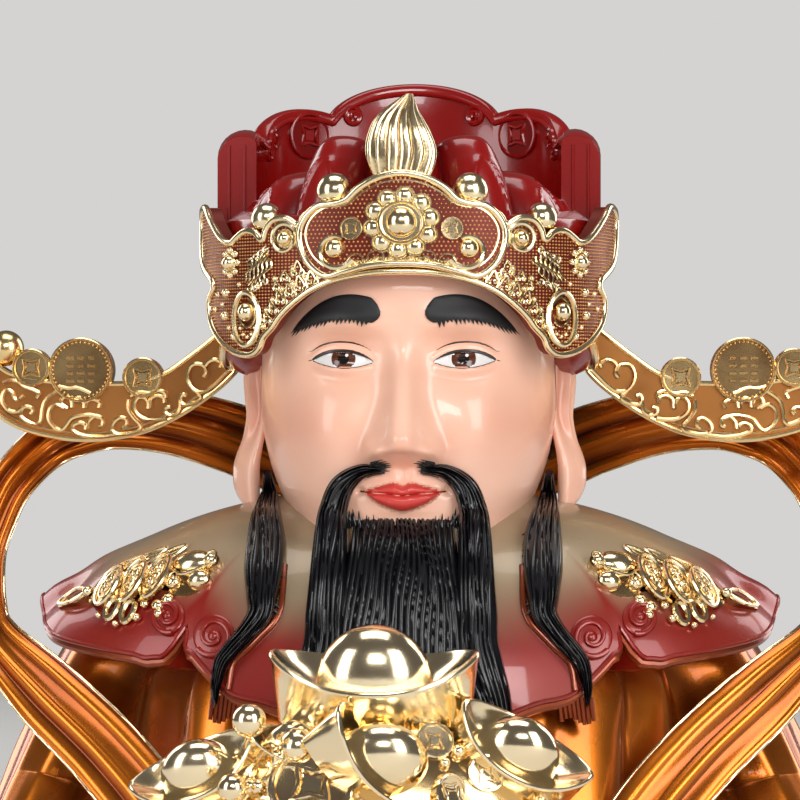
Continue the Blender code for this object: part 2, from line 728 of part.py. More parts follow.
def crown():
    """Crown plate over the forehead: a lobed middle panel on two winged side panels."""
    rosette = ((10.2, -2), (10.4, 1.8), (6.6, 3.4), (3.4, 7.0))
    parts = [
        slab("crown_sides", mirrored(CROWN_SIDE), crown_surface, CROWN_THICK, step=(16, 20)),
        slab("crown_middle", mirrored(CROWN_MIDDLE), crown_middle_surface, CROWN_THICK - 1, step=(14, 30)),
        button("rosette", crown_middle_surface(0, ROSETTE_Z, 0), (0, -1, 0), rosette, 22, scallop=0.14),
    ]
    for side in (-1, 1):
        for turn, z, radius, stretch in CROWN_BOSSES:
            a = math.radians(turn * side)
            out = (math.sin(a) / CROWN_HALF_WIDTH, -math.cos(a) / CROWN_HALF_DEPTH, 0)
            surface = crown_middle_surface if turn < MIDDLE_TURN else crown_surface
            dome = ((radius, -2), (radius, 0.7), (radius * 0.5, 2.6))
            parts.append(button("boss", surface(turn * side, z, 0), out, dome, 6, stretch=stretch))
    return parts


# Flame over the crown: height, half width, half depth, shift to the side, twist
FLAME_ROWS = (
    (246, 6.5, 5, 0, 0), (251, 9.6, 5.6, 0, 0), (256, 11.4, 6.2, -0.4, 5), (261, 11.4, 6.2, -0.8, 10),
    (265.5, 9.4, 5.6, -0.4, 16), (269.5, 6.6, 4.4, 0.8, 22), (273, 4, 3, 1.8, 28), (276.6, 1.2, 1.2, 2, 32),
)
FLAME_Y = -62.0
FLAME_FLUTE_DEPTH = 0.08
# Balls on the crown's upper edge: place to the side, to the back, height, radius
PEARLS = ((22.5, -58.5, 244.6, 6.1), (46.4, -44.5, 236.2, 5.3))


def flame():
    """Gilt flame with twisting flutes over the middle of the crown."""
    rings = []
    for z, wide, deep, shift, twist in FLAME_ROWS:
        ring = []
        for j in range(2 * FLAME_FLUTES):
            a = math.pi * j / FLAME_FLUTES
            flute = 1 + FLAME_FLUTE_DEPTH * math.cos(FLAME_FLUTES * a)
            turn = a + math.radians(twist)
            ring.append((shift + wide * flute * math.sin(turn), FLAME_Y - deep * flute * math.cos(turn), z))
        rings.append(ring)
    return loft("flame", rings)


def pearls():
    """Four gilt balls on the crown's upper edge."""
    return [ball("pearl", (side * x, y, z), radius) for side in (-1, 1) for x, y, z, radius in PEARLS]


def figure():
    parts = [collar(), hat_band(), cap(), cloud_plate(), flame()]
    for side in (-1, 1):
        parts += [ear(side), sleeve(side), fish(side)]
    parts += robe() + beard() + collar_scrolls() + crown() + pearls() + cloud_coins()
    body = joined("figure", head(), parts)
    cut_flat(body)
    tidy(body)
    paint(body, (0.62, 0.10, 0.05), 0.28, 0.25)
    return body


# Scarf

def scarf(body):
    """Flying ribbon behind the head, round both loops and down over the sleeves."""
    steps = 19
    half = spline(SCARF_PATH, steps)
    stations = [(-x, y, z, w) for x, y, z, w in reversed(half[1:])] + [tuple(h) for h in half]
    tree = BVHTree.FromObject(body, bpy.context.evaluated_depsgraph_get())
    around = ((-1, 0), (-0.62, -1.1), (-0.22, -0.3), (0.2, -1.3), (0.62, -0.5), (1, 0), (0, 0.8))
    rings = []
    for k, (x, y, z, width) in enumerate(stations):
        before = Vector(stations[max(k - 1, 0)][:3])
        after = Vector(stations[min(k + 1, len(stations) - 1)][:3])
        along = (after - before).normalized()
        across = Vector((0, 1, 0)).cross(along).normalized()
        ring = []
        for w, d in around:
            point = Vector((x, y, z)) + across * (w * width) + Vector((0, d * SCARF_THICK / 2, 0))
            ring.append(point)
        if y < 0:
            push = 0.0
            for point in ring:
                hit = tree.ray_cast(Vector((point.x, -200, point.z)) * MM, Vector((0, 1, 0)))[0]
                if hit is not None and abs(point.x) > 55:
                    push = max(push, point.y - (hit.y / MM - GAP - 0.8))
            ring = [point - Vector((0, push, 0)) for point in ring]
        rings.append(ring)
    ribbon = loft("scarf", rings)
    cut_flat(ribbon)
    tidy(ribbon)
    paint(ribbon, (0.75, 0.28, 0.05), 0.3, 0.5)
    return ribbon


# Hat wings

def hat_wing(side, name):
    """Bowed wing plugged into the side of the hat, with coins along its upper edge."""
    tip_x, tip_z = WING_TIP
    tip = []
    for turn in range(-60, 181, 48):
        a = math.radians(turn)
        tip.append((tip_x + WING_TIP_RADIUS * math.cos(a), tip_z + WING_TIP_RADIUS * math.sin(a)))
    outline = list(WING_LOWER) + tip + list(WING_UPPER)

    def surface(x, z, depth):
        inward = ease(100, 60, x) * 1.5
        return side * x, WING_Y - WING_THICK / 2 + depth - inward, z

    plate = slab("wing", outline, surface, WING_THICK, step=(22, 40))
    parts = []
    half = WING_THICK / 2
    for x, z, radius in WING_COINS:
        rim = ((radius, -half - 0.6), (radius, half + 1.2), (radius * 0.8, half + 0.6))
        parts.append(button("coin", (side * x, WING_Y, z), (0, -1, 0), rim, sides=10))
    x, z, radius = WING_PEARL
    parts.append(ball("wing_pearl", (side * x, WING_Y, z), radius))
    curl = ((6.8, -2), (6.8, half + 1), (2.5, half + 3))
    parts.append(button("wing_curl", (side * tip_x, WING_Y, tip_z), (0, -1, 0), curl, sides=9))
    wing = joined(name, plate, parts)
    tidy(wing)
    paint(wing, (0.78, 0.45, 0.12), 0.25, 0.9)
    return wing


# Heap of ingots

# Ingot, as shares of its length: half width, top of the dome, and for each ring the share of the
# half length, the share of the half width, the height, and the rise toward the two ends
INGOT_WIDE = 0.30
INGOT_DOME = 0.30
INGOT_ROWS = (
    (0.94, 0.62, -0.16, 0.0), (1.0, 1.0, 0.06, 0.11), (0.93, 0.90, 0.075, 0.10),
    (0.62, 0.72, 0.0, 0.02), (0.52, 0.62, 0.12, 0.0), (0.28, 0.34, 0.255, 0.0),
)
INGOT_SIDES = 12


def ingot(name, centre, length, yaw, pitch, roll):
    """Boat-shaped ingot: hull, raised ends, bowl and domed middle."""
    rings = []
    for long_share, wide_share, height, rise in INGOT_ROWS:
        ring = []
        for j in range(INGOT_SIDES):
            a = 2 * math.pi * j / INGOT_SIDES
            x = 0.5 * long_share * math.cos(a)
            y = INGOT_WIDE * wide_share * math.sin(a)
            ring.append((length * x, length * y, length * (height + rise * abs(math.cos(a)) ** 2.5)))
        rings.append(ring)
    thing = loft(name, rings)
    thing.data.vertices[-1].co.z = length * INGOT_DOME * MM
    turn = (Matrix.Rotation(math.radians(yaw), 4, "Z") @ Matrix.Rotation(math.radians(pitch), 4, "X")
            @ Matrix.Rotation(math.radians(roll), 4, "Y"))
    thing.data.transform(Matrix.Translation(Vector(centre) * MM) @ turn)
    return thing


# Ingots: middle, length, turn, tilt to the front, tilt to the side
INGOTS = (
    ((-6.7, -113, 83.7), 67, 0, 14, 0),
    ((-4.9, -127, 60.9), 53, 0, 42, 46),
    ((38.1, -116, 62.5), 48, -14, 32, 36),
    ((-61.5, -117, 56), 44, 14, 34, -30),
    ((-32.2, -117, 64.2), 34, 12, 30, 10),
    ((36, -124, 27), 50, -18, 42, 8),
    ((-24, -130, 28), 54, 6, 46, -6),
    ((-64, -112, 20), 44, 30, 38, 10),
)
# Coins of the heap: middle, radius, direction that they face
HEAP_COINS = (((-25, -133, 55), 14, (-0.15, -0.8, 0.6)), ((8, -139, 14), 9, (0.1, -1, 0.2)))
# Mound under them: height, half width, half depth, middle to the back
MOUND_ROWS = (
    (-4, 70, 29.6, -110), (20, 70, 29.6, -110), (42, 58, 25, -111), (60, 42, 19, -111), (72, 22, 13, -111),
)
MOUND_X = -7.0


def heap_coin(centre, radius, facing):
    return button("heap_coin", centre, facing, ((radius, -2), (radius, 1.6), (radius * 0.8, 0.9)), sides=12)


def ingot_heap():
    turns = [math.radians(a) for a in range(0, 360, 20)]
    rings = [[(MOUND_X + a * bent(math.sin(t), 2.5), y - b * bent(math.cos(t), 2.3), z) for t in turns]
             for z, a, b, y in MOUND_ROWS]
    mound = loft("mound", rings)
    parts = [ingot("ingot", *row) for row in INGOTS]
    parts += [heap_coin(*coin) for coin in HEAP_COINS]
    heap = joined("ingot_heap", mound, parts)
    cut_flat(heap)
    tidy(heap)
    paint(heap, (0.90, 0.72, 0.36), 0.15, 1.0)
    return heap


def main():
    for thing in list(bpy.data.objects):
        bpy.data.objects.remove(thing)
    body = figure()
    scarf(body)
    hat_wing(-1, "hat_wing_left")
    hat_wing(1, "hat_wing_right")
    ingot_heap()


main()
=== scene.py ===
"""Looks of a bust of a caishen, a god of wealth, in painted and gilded cast resin.

Lengths are in millimetres and angles in degrees until a mesh is made.
+Z is up, the figure faces -Y, and the origin is in the middle of the flat underside.
"""
import math
import random

import bmesh
import bpy
import numpy as np
from mathutils import Matrix, Vector
from mathutils.bvhtree import BVHTree
from mathutils.geometry import delaunay_2d_cdt


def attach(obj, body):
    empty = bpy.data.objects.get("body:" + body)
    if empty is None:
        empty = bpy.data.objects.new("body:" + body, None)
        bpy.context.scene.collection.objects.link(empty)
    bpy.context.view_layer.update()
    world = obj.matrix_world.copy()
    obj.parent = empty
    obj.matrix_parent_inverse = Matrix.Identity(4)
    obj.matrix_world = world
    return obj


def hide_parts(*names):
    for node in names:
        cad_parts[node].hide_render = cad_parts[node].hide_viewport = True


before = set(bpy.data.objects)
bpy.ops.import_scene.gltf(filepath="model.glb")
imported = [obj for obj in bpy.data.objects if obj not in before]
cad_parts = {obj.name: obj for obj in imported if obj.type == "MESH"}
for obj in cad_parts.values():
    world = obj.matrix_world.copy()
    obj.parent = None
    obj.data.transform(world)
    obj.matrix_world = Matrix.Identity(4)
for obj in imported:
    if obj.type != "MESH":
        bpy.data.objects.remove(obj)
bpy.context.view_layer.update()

MM = 0.001

# Head: height, half width, reach to the front and to the back of its axis
HEAD_AXIS_Y = -2.0
HEAD_RINGS = (
    (104, 20, 4, 32), (112, 25, 22, 36), (118, 29, 42, 39), (126, 35, 50, 42), (136, 41, 51.5, 44),
    (150, 47, 51.5, 47), (168, 51, 52, 50), (190, 51, 51.5, 51), (208, 50.5, 53.5, 50), (226, 47, 51, 47),
)
HEAD_POWER = 2.25
EYE_X = 20.5
EYE_Z = 188.0
EYE_HALF_WIDTH = 10.5
NOSE_PROFILE = (
    (150, 0), (153, 1), (155, 6), (157.5, 13), (161, 15.5), (166, 13.5), (174, 9), (184, 5), (192, 2), (199, 0),
)
MOUTH_Z = 143.5
LIP_HALF_WIDTH = 14.0

# Shoulders: the dome that the cloud collar lies on
SHOULDER_HALF_WIDTH = 150.0
SHOULDER_DEPTH = 75.6
SHOULDER_FOOT_Z = 40.0
SHOULDER_RISE = 105.0
SHOULDER_POWER = 2.2
COLLAR_THICK = 3.5
COLLAR_EDGE = (
    (0, 80.5), (10, 75.5), (16, 72.3), (21.5, 70.4), (25, 67), (29, 63), (31, 61), (32, 57), (33, 61.5), (36, 64),
    (40, 63.5), (50, 62.3), (64, 60.5), (80, 57), (90, 55.5),
)
# Curled ends of the collar's lobes, from the front: place to the side, height, radius, start, way of winding
COLLAR_SCROLLS = ((79, 102.3, 5.6, 200, -1), (62.8, 96.2, 6.8, 130, 1))
COLLAR_TIP_OUT = -2.4
COLLAR_TIP_UP = 4.5

# Hat
BAND_HALF_WIDTH = 65.0
BAND_FRONT = 62.5
BAND_BACK = 57.0
BAND_TOP_Z = 236.0
BAND_LOW_Z = 183.0
BAND_BROW_RISE = 36.0
CAP_AXIS_Y = -4.0
CAP_HALF_WIDTH = 59.0
CAP_HALF_DEPTH = 54.0
CAP_FOOT_Z = 228.0
# How high the cap's petals rise: turn from the front and height over its foot
CAP_PETALS = ((0, 42), (30, 36.5), (60, 25), (90, 21), (120, 19.5), (180, 19))
CAP_MIDDLE = 27.0
# Rings of the cap: place from foot to middle, share of its radius, share of its height, share of the middle's height
CAP_ROWS = ((0, 1.0, 0.0, 0.0), (1, 0.97, 0.38, 0.0), (2, 0.87, 0.80, 0.0), (3, 0.72, 1.0, 0.0),
            (4, 0.34, 1.0, 0.87), (4.6, 0.05, 1.0, 1.0))
CAP_RIBS = 12
CLOUD_HALF_WIDTH = 67.0
CLOUD_HALF_DEPTH = 56.0
CLOUD_FOOT_Z = 205.0
# Lobes of the cloud plate behind the cap: middle, half angle, top height, drop at the lobe's ends
CLOUD_LOBES = ((0, 30, 290.5, 17.4), (38, 24, 280.5, 17.5), (76, 24, 270.5, 8))
CLOUD_END = 96.0
CLOUD_LINE_END = 92.0
CLOUD_CURL = 3.6
CLOUD_MM = 1.1
# Coin on each second lobe: turn, height, radius
CLOUD_COIN = (38, 270.7, 8.6)
CROWN_HALF_WIDTH = 72.0
CROWN_HALF_DEPTH = 66.0
CROWN_THICK = 5.0
CROWN_MM = 1.2
PANEL_Z = 233.5
FLAME_FLUTES = 7

# Arms: centre and radius of the sleeve from the shoulder to below the cut
SLEEVE_PATH = (
    (78, 2, 92, 30), (92, 4, 74, 33), (101, 5, 54, 33.5),
    (108, 3, 34, 35), (112, -6, 14, 37), (111, -16, -12, 38),
)
SLEEVE_FOLD = 4.2

# Scarf: half of its middle line, from behind the head to the cut, with its half width at each point
SCARF_PATH = (
    (0, 60, 150, 13), (40, 58, 151, 13), (66, 48, 161, 12.8), (88, 42, 167, 11.8), (108, 37, 168, 10.8),
    (122, 33, 164, 9.5), (132.7, 30, 157.5, 8.5), (142.4, 18, 145.5, 8), (146.7, 6, 132.5, 7.5),
    (148.5, -6, 120, 7.5), (146, -22, 103.5, 8), (140, -33, 93, 8.5), (122, -46, 77, 12), (99, -58, 57, 13),
    (80, -68, 35, 13.5), (69, -74, 12, 13.5), (66, -76, -12, 13.5),
)
SCARF_THICK = 4.6

# Hat wings: lower and upper edge from the hat outward, in the plane of the wing
WING_Y = 21.0
WING_THICK = 6.0
WING_LOWER = (
    (62.8, 185), (68, 180), (76, 174), (86, 168), (98, 163.2), (114, 161), (130, 162.5), (144, 167.5), (157, 178),
)
WING_UPPER = (
    (150, 189), (142, 184), (128, 181.5), (115, 181), (100, 181), (88, 184.3), (78, 191), (69, 198), (62.8, 203),
)
WING_TIP = (159, 188)
WING_TIP_RADIUS = 9.5
WING_COINS = ((95.6, 183, 7.2), (117.7, 185.7, 11.5), (135.5, 186.5, 6.8))
WING_PEARL = (145, 193.5, 6.4)


# Numbers and curves

def ease(low, high, value):
    t = np.clip((np.asarray(value, dtype=float) - low) / (high - low), 0, 1)
    return t * t * (3 - 2 * t)


def follow(table, value, column=1):
    """Smooth curve through the rows of a table whose first column rises."""
    keys = np.array([row[0] for row in table], dtype=float)
    values = np.array([row[column] for row in table], dtype=float)
    slopes = np.gradient(values, keys)
    v = np.clip(np.asarray(value, dtype=float), keys[0], keys[-1])
    k = np.clip(np.searchsorted(keys, v, side="right") - 1, 0, len(keys) - 2)
    step = keys[k + 1] - keys[k]
    t = (v - keys[k]) / step
    start = (2 * t**3 - 3 * t**2 + 1) * values[k] + (t**3 - 2 * t**2 + t) * step * slopes[k]
    return start + (3 * t**2 - 2 * t**3) * values[k + 1] + (t**3 - t**2) * step * slopes[k + 1]


def bent(value, power):
    """Signed power, which turns a circle into a superellipse."""
    return np.copysign(np.abs(value) ** (2 / power), value)


def spline(points, count, closed=False):
    """Evenly spaced points on a smooth curve through the given ones."""
    points = np.array(points, dtype=float)
    if closed:
        padded = np.vstack([points[-1:], points, points[:2]])
    else:
        padded = np.vstack([2 * points[0] - points[1], points, 2 * points[-1] - points[-2]])
    t = np.linspace(0, 1, 16, endpoint=False)[:, None]
    fine = []
    for k in range(1, len(padded) - 2):
        p0, p1, p2, p3 = padded[k - 1:k + 3]
        fine.append(0.5 * (2 * p1 + (p2 - p0) * t + (2 * p0 - 5 * p1 + 4 * p2 - p3) * t**2
                           + (3 * p1 - p0 - 3 * p2 + p3) * t**3))
    fine = np.vstack(fine + [padded[-2:-1]])
    length = np.concatenate([[0], np.cumsum(np.linalg.norm(np.diff(fine, axis=0), axis=1))])
    wanted = np.linspace(0, length[-1], count, endpoint=not closed)
    return np.stack([np.interp(wanted, length, fine[:, i]) for i in range(fine.shape[1])], axis=1)


def unit(vectors):
    vectors = np.asarray(vectors, dtype=float)
    return vectors / np.maximum(np.linalg.norm(vectors, axis=-1, keepdims=True), 1e-12)


def coil(centre, outer, inner, start, turns, count=40, stretch=1.0):
    """Flat spiral that winds in from the outer to the inner radius; start is in degrees from +v."""
    t = np.linspace(0, 1, count)
    angle = np.radians(start) + 2 * math.pi * turns * t
    r = outer + (inner - outer) * t
    return np.stack([centre[0] + r * np.sin(angle), centre[1] + stretch * r * np.cos(angle)], axis=1)


def dome_rows(radius, height, rows=5, base=0.0):
    """Profile of a dome, from its foot to near its top."""
    turn = np.linspace(0, 82, rows)
    return [(radius * math.cos(math.radians(a)), base + height * math.sin(math.radians(a))) for a in turn]


# Meshes

class Shape:
    """Points, faces and a tone from 0 (recess) to 1 (ridge) for each point; where it follows recesses and ridges, the
    tone paints shade into the recesses and a highlight onto the ridges.
    """

    def __init__(self, verts, faces, tone=1.0):
        self.verts = np.asarray(verts, dtype=float).reshape(-1, 3)
        self.faces = faces
        self.tone = np.broadcast_to(np.asarray(tone, dtype=float).reshape(-1) if np.ndim(tone) else tone,
                                    len(self.verts)).copy()


def grid(points, wrap=False, ends=False, loop=False, tone=1.0):
    """Skin over rows of points: wrap closes each row, loop closes the rows, ends puts a fan on both ends."""
    points = np.asarray(points, dtype=float)
    rows, cols = points.shape[:2]
    index = np.arange(rows * cols).reshape(rows, cols)
    near = index if wrap else index[:, :-1]
    far = np.roll(index, -1, axis=1) if wrap else index[:, 1:]
    if loop:
        quads = np.stack([near, far, np.roll(far, -1, axis=0), np.roll(near, -1, axis=0)], axis=-1)
    else:
        quads = np.stack([near[:-1], far[:-1], far[1:], near[1:]], axis=-1)
    verts = points.reshape(-1, 3)
    shades = np.broadcast_to(tone, (rows, cols)).reshape(-1)
    faces = quads.reshape(-1, 4).tolist()
    if ends:
        for row, way in ((0, -1), (rows - 1, 1)):
            middle = len(verts)
            verts = np.vstack([verts, points[row].mean(axis=0)])
            shades = np.append(shades, shades[index[row]].mean())
            around = index[row].tolist()
            faces += [[a, b, middle][::way] for a, b in zip(around, around[1:] + around[:1])]
    return Shape(verts, faces, shades)


def tube(path, radius, sides=8, closed=False, facing=None, flat=1.0):
    """Wire along a path; facing is the direction of its height, which flat scales."""
    path = np.asarray(path, dtype=float)
    count = len(path)
    radius = np.broadcast_to(radius, count)
    if closed:
        along = unit(np.roll(path, -1, axis=0) - np.roll(path, 1, axis=0))
    else:
        along = unit(np.gradient(path, axis=0))
    if facing is None:
        across = np.cross(along[0], (0, 0, 1))
        if np.linalg.norm(across) < 0.1:
            across = np.array((1.0, 0.0, 0.0))
        frames = []
        for direction in along:
            across = unit(across - direction * np.dot(across, direction))
            frames.append(across)
        across = np.array(frames)
    else:
        across = unit(np.cross(along, np.broadcast_to(facing, (count, 3))))
    up = np.cross(across, along)
    angle = 2 * math.pi * np.arange(sides) / sides
    rings = path[:, None] + radius[:, None, None] * (np.cos(angle)[None, :, None] * across[:, None]
                                                     + flat * np.sin(angle)[None, :, None] * up[:, None])
    return grid(rings, wrap=True, ends=not closed, loop=closed)


def ball(centre, radius, sides, rows):
    up = np.pi * np.arange(1, rows) / rows
    turn = 2 * np.pi * np.arange(sides) / sides
    ring = np.stack([np.sin(up)[:, None] * np.sin(turn)[None], np.sin(up)[:, None] * np.cos(turn)[None],
                     -np.cos(up)[:, None] * np.ones(sides)[None]], axis=-1)
    shape = grid(ring, wrap=True, ends=True)
    shape.verts[-2:, 2] = (-1, 1)
    shape.verts = shape.verts * radius + np.array(centre)
    return shape


def button(centre, normal, profile, sides=24, stretch=1.0, tones=None):
    """Turned boss: profile lists radius and height; stretch makes it taller."""
    n = unit(normal)
    right = unit(np.cross((0, 0, 1), n)) if abs(n[2]) < 0.99 else np.array((1.0, 0.0, 0.0))
    top = np.cross(n, right)
    angle = 2 * math.pi * np.arange(sides) / sides
    rings = [np.array(centre) + right * (radius * np.sin(angle))[:, None]
             + top * (radius * stretch * np.cos(angle))[:, None] + n * height for radius, height in profile]
    tone = 1.0 if tones is None else np.repeat(np.array(tones, dtype=float)[:, None], sides, axis=1)
    return grid(np.array(rings), wrap=True, ends=True, tone=tone)


def inside(points, outline):
    """Which of the points lie in a closed outline."""
    points = np.asarray(points, dtype=float)
    outline = np.asarray(outline, dtype=float)
    hit = np.zeros(len(points), dtype=bool)
    for (x0, y0), (x1, y1) in zip(outline, np.roll(outline, -1, axis=0)):
        if y0 == y1:
            continue
        crosses = (y0 > points[:, 1]) != (y1 > points[:, 1])
        hit ^= crosses & (points[:, 0] < x0 + (points[:, 1] - y0) * (x1 - x0) / (y1 - y0))
    return hit


def distance(points, line):
    """Distance of each point to the nearest point of a fine line."""
    points = np.asarray(points, dtype=float)
    line = np.asarray(line, dtype=float)
    return np.sqrt(((points[:, None] - line[None]) ** 2).sum(axis=2)).min(axis=1)


def slab(outline, surface, thick, step=None, round_by=0.0, tone=1.0):
    """Plate with a flat outline laid on surface(u, v, height); round_by lowers the top toward its edge."""
    outline = np.asarray(outline, dtype=float)
    points = outline
    if step:
        low = outline.min(axis=0)
        high = outline.max(axis=0)
        u, v = np.meshgrid(np.arange(low[0] + step / 2, high[0], step), np.arange(low[1] + step / 2, high[1], step))
        within = np.stack([u.ravel(), v.ravel()], axis=1)
        within = within[inside(within, outline)]
        if len(within):
            within = within[distance(within, outline) > 0.4 * step]
        points = np.vstack([outline, within])
    found = delaunay_2d_cdt([Vector(p) for p in points], [], [list(range(len(outline)))], 1, 1e-5)
    flat = np.array([(p[0], p[1]) for p in found[0]])
    triangles = [list(t) for t in found[2]]
    top = np.zeros(len(flat))
    if round_by:
        top = -round_by * (1 - ease(0, 1.6 * round_by, distance(flat, outline))) ** 2
    count = len(flat)
    verts = np.vstack([surface(flat[:, 0], flat[:, 1], top), surface(flat[:, 0], flat[:, 1], np.full(count, -thick))])
    faces = triangles + [[i + count for i in reversed(t)] for t in triangles]
    used = {(a, b) for t in triangles for a, b in zip(t, t[1:] + t[:1])}
    faces += [[b, a, a + count, b + count] for a, b in used if (b, a) not in used]
    return Shape(verts, faces, tone)


def placed(surface, uv, height):
    """Points of a surface over a flat curve, and the directions out of the surface there."""
    uv = np.atleast_2d(np.asarray(uv, dtype=float))
    low = surface(uv[:, 0], uv[:, 1], np.full(len(uv), float(height)))
    high = surface(uv[:, 0], uv[:, 1], np.full(len(uv), float(height) + 1))
    return low, unit(high - low)


def wire(surface, uv, radius, height=0.0, sides=6, closed=False, flat=1.0):
    path, out = placed(surface, uv, height)
    return tube(path, radius, sides, closed, out, flat)


def stud(surface, uv, profile, sides=20, height=0.0, **options):
    centre, out = placed(surface, uv, height)
    return button(centre[0], out[0], profile, sides, **options)


def piece(name, parts, nodes=("figure",), sharp=40, flip=True):
    """One visual object from shapes and their materials; it rides on the root and stands for CAD nodes."""
    verts, faces, tones, looks, finishes = [], [], [], [], []
    count = 0
    for shapes, finish in parts:
        if finish not in finishes:
            finishes.append(finish)
        for shape in shapes if isinstance(shapes, list) else [shapes]:
            verts.append(shape.verts)
            tones.append(shape.tone)
            faces += [[i + count for i in face] for face in shape.faces]
            looks += [finishes.index(finish)] * len(shape.faces)
            count += len(shape.verts)
    mesh = bpy.data.meshes.new(name)
    mesh.from_pydata((np.vstack(verts) * MM).tolist(), [], faces)
    mesh.polygons.foreach_set("material_index", looks)
    tone = mesh.attributes.new("tone", "FLOAT", "POINT")
    tone.data.foreach_set("value", np.concatenate(tones).astype(np.float32))
    for finish in finishes:
        mesh.materials.append(finish)
    if flip:
        work = bmesh.new()
        work.from_mesh(mesh)
        bmesh.ops.recalc_face_normals(work, faces=work.faces)
        work.to_mesh(mesh)
        work.free()
    mesh.shade_smooth()
    mesh.set_sharp_from_angle(angle=math.radians(sharp))
    thing = bpy.data.objects.new(name, mesh)
    bpy.context.scene.collection.objects.link(thing)
    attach(thing, "root")
    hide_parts(*nodes)
    return thing


# Materials

# How far the roughness of a finish varies
WEAR = 0.08


def add_node(tree, kind, **values):
    """New shader node with the values of its inputs; an underscore in a name stands for a space."""
    node = tree.nodes.new("ShaderNode" + kind)
    for name, value in values.items():
        node.inputs[name.replace("_", " ")].default_value = value
    return node


def material(name, low, high, roughness, metallic=0.0, coat=0.0, patch=22.0, spread=0.25, grain=900.0, bump=0.04):
    """Painted or gilded finish: the tone of the mesh, clouded by noise, runs from the low to the high colour. Where
    the tone follows recesses and ridges, the low colour is painted shade and the high colour a painted highlight.
    """
    look = bpy.data.materials.new(name)
    look.use_nodes = True
    tree = look.node_tree
    shader = tree.nodes["Principled BSDF"]
    shader.inputs["Metallic"].default_value = metallic
    shader.inputs["Coat Weight"].default_value = coat
    shader.inputs["Coat Roughness"].default_value = 0.04
    place = add_node(tree, "TexCoord")
    tone = add_node(tree, "Attribute")
    tone.attribute_name = "tone"
    clouds = add_node(tree, "TexNoise", Scale=patch, Detail=4.0)
    shift = add_node(tree, "MapRange", From_Min=0.3, From_Max=0.7, To_Min=-spread, To_Max=spread)
    added = add_node(tree, "Math")
    added.operation = "ADD"
    added.use_clamp = True
    mix = add_node(tree, "Mix")
    mix.data_type = "RGBA"
    mix.inputs["A"].default_value = (*low, 1)
    mix.inputs["B"].default_value = (*high, 1)
    rough = add_node(tree, "MapRange", To_Min=max(0.02, roughness - WEAR), To_Max=roughness + WEAR)
    fine = add_node(tree, "TexNoise", Scale=grain, Detail=3.0)
    relief = add_node(tree, "Bump", Strength=bump, Distance=0.0004)
    for source, output, target, entry in (
            (place, "Object", clouds, "Vector"), (clouds, "Fac", shift, "Value"), (tone, "Fac", added, 0),
            (shift, "Result", added, 1), (added, "Value", mix, "Factor"), (mix, "Result", shader, "Base Color"),
            (clouds, "Fac", rough, "Value"), (rough, "Result", shader, "Roughness"),
            (place, "Object", fine, "Vector"), (fine, "Fac", relief, "Height"), (relief, "Normal", shader, "Normal")):
        tree.links.new(source.outputs[output], target.inputs[entry])
    return look


# Skin: the low colour is a warm blush and also painted shade in the face's hollows; the high colour is the skin's own
# paint.
SKIN = material("skin_paint", (0.72, 0.24, 0.14), (0.95, 0.56, 0.41), 0.34, coat=0.4, spread=0.06)
LIPS = material("lip_paint", (0.42, 0.02, 0.02), (0.62, 0.05, 0.04), 0.36, coat=0.25, spread=0.1)
EYE_WHITE = material("eye_white", (0.72, 0.70, 0.68), (0.86, 0.85, 0.83), 0.25, coat=0.6, spread=0.1)
IRIS = material("iris_brown", (0.03, 0.008, 0.004), (0.10, 0.028, 0.012), 0.2, coat=0.8)
PUPIL = material("pupil_black", (0.002, 0.002, 0.002), (0.006, 0.005, 0.005), 0.15, coat=0.8)
GLINT = material("eye_glint", (0.9, 0.9, 0.9), (0.97, 0.97, 0.97), 0.2, spread=0.05)
# Dark line paint of the lids; the same dark colour along the mouth's crease is painted shade.
LINE_AND_SHADE = material("lid_line_and_lip_shade", (0.01, 0.006, 0.005), (0.03, 0.015, 0.01), 0.3, coat=0.3)
# Black hair: the lower colour is painted shade in the grooves between strands and on the backs of the locks.
HAIR = material("black_hair", (0.001, 0.001, 0.0015), (0.006, 0.006, 0.008), 0.22, coat=0.15, patch=60,
                grain=1800, bump=0.06)
BROW = material("brow_paint", (0.001, 0.001, 0.0015), (0.005, 0.005, 0.006), 0.5, patch=60, grain=1800, bump=0.06)
# Hat lacquer: the low colour is painted shade in the valleys between the cap's petals and in the coins' fields.
HAT_RED = material("hat_lacquer", (0.05, 0.001, 0.001), (0.26, 0.003, 0.002), 0.22, coat=0.5, spread=0.2)
CROWN_RED = material("crown_ground", (0.05, 0.003, 0.001), (0.15, 0.014, 0.004), 0.4, metallic=0.4, spread=0.3)
# Grains: the dark low colour is painted shade at their foot, the high colour their gilding.
CROWN_DOT = material("crown_granules", (0.12, 0.02, 0.006), (0.85, 0.42, 0.16), 0.28, metallic=0.9, patch=90)
# Gilding: the low colour is painted shade, used in the flame's flutes, under the fish's relief and in the coins'
# fields.
GOLD = material("gilding", (0.46, 0.28, 0.11), (0.97, 0.80, 0.50), 0.19, metallic=1.0, patch=55, spread=0.12,
                bump=0.10, grain=700)
# Ingot gilding: the low colour is painted shade between the ingots and in the coins' fields.
PALE_GOLD = material("ingot_gilding", (0.70, 0.45, 0.18), (1.0, 0.84, 0.56), 0.16, metallic=1.0, patch=40,
                     spread=0.12, bump=0.06, grain=500)
WING_BRASS = material("wing_ground", (0.16, 0.05, 0.012), (0.50, 0.20, 0.05), 0.32, metallic=0.75, patch=45,
                      spread=0.25, coat=0.4)
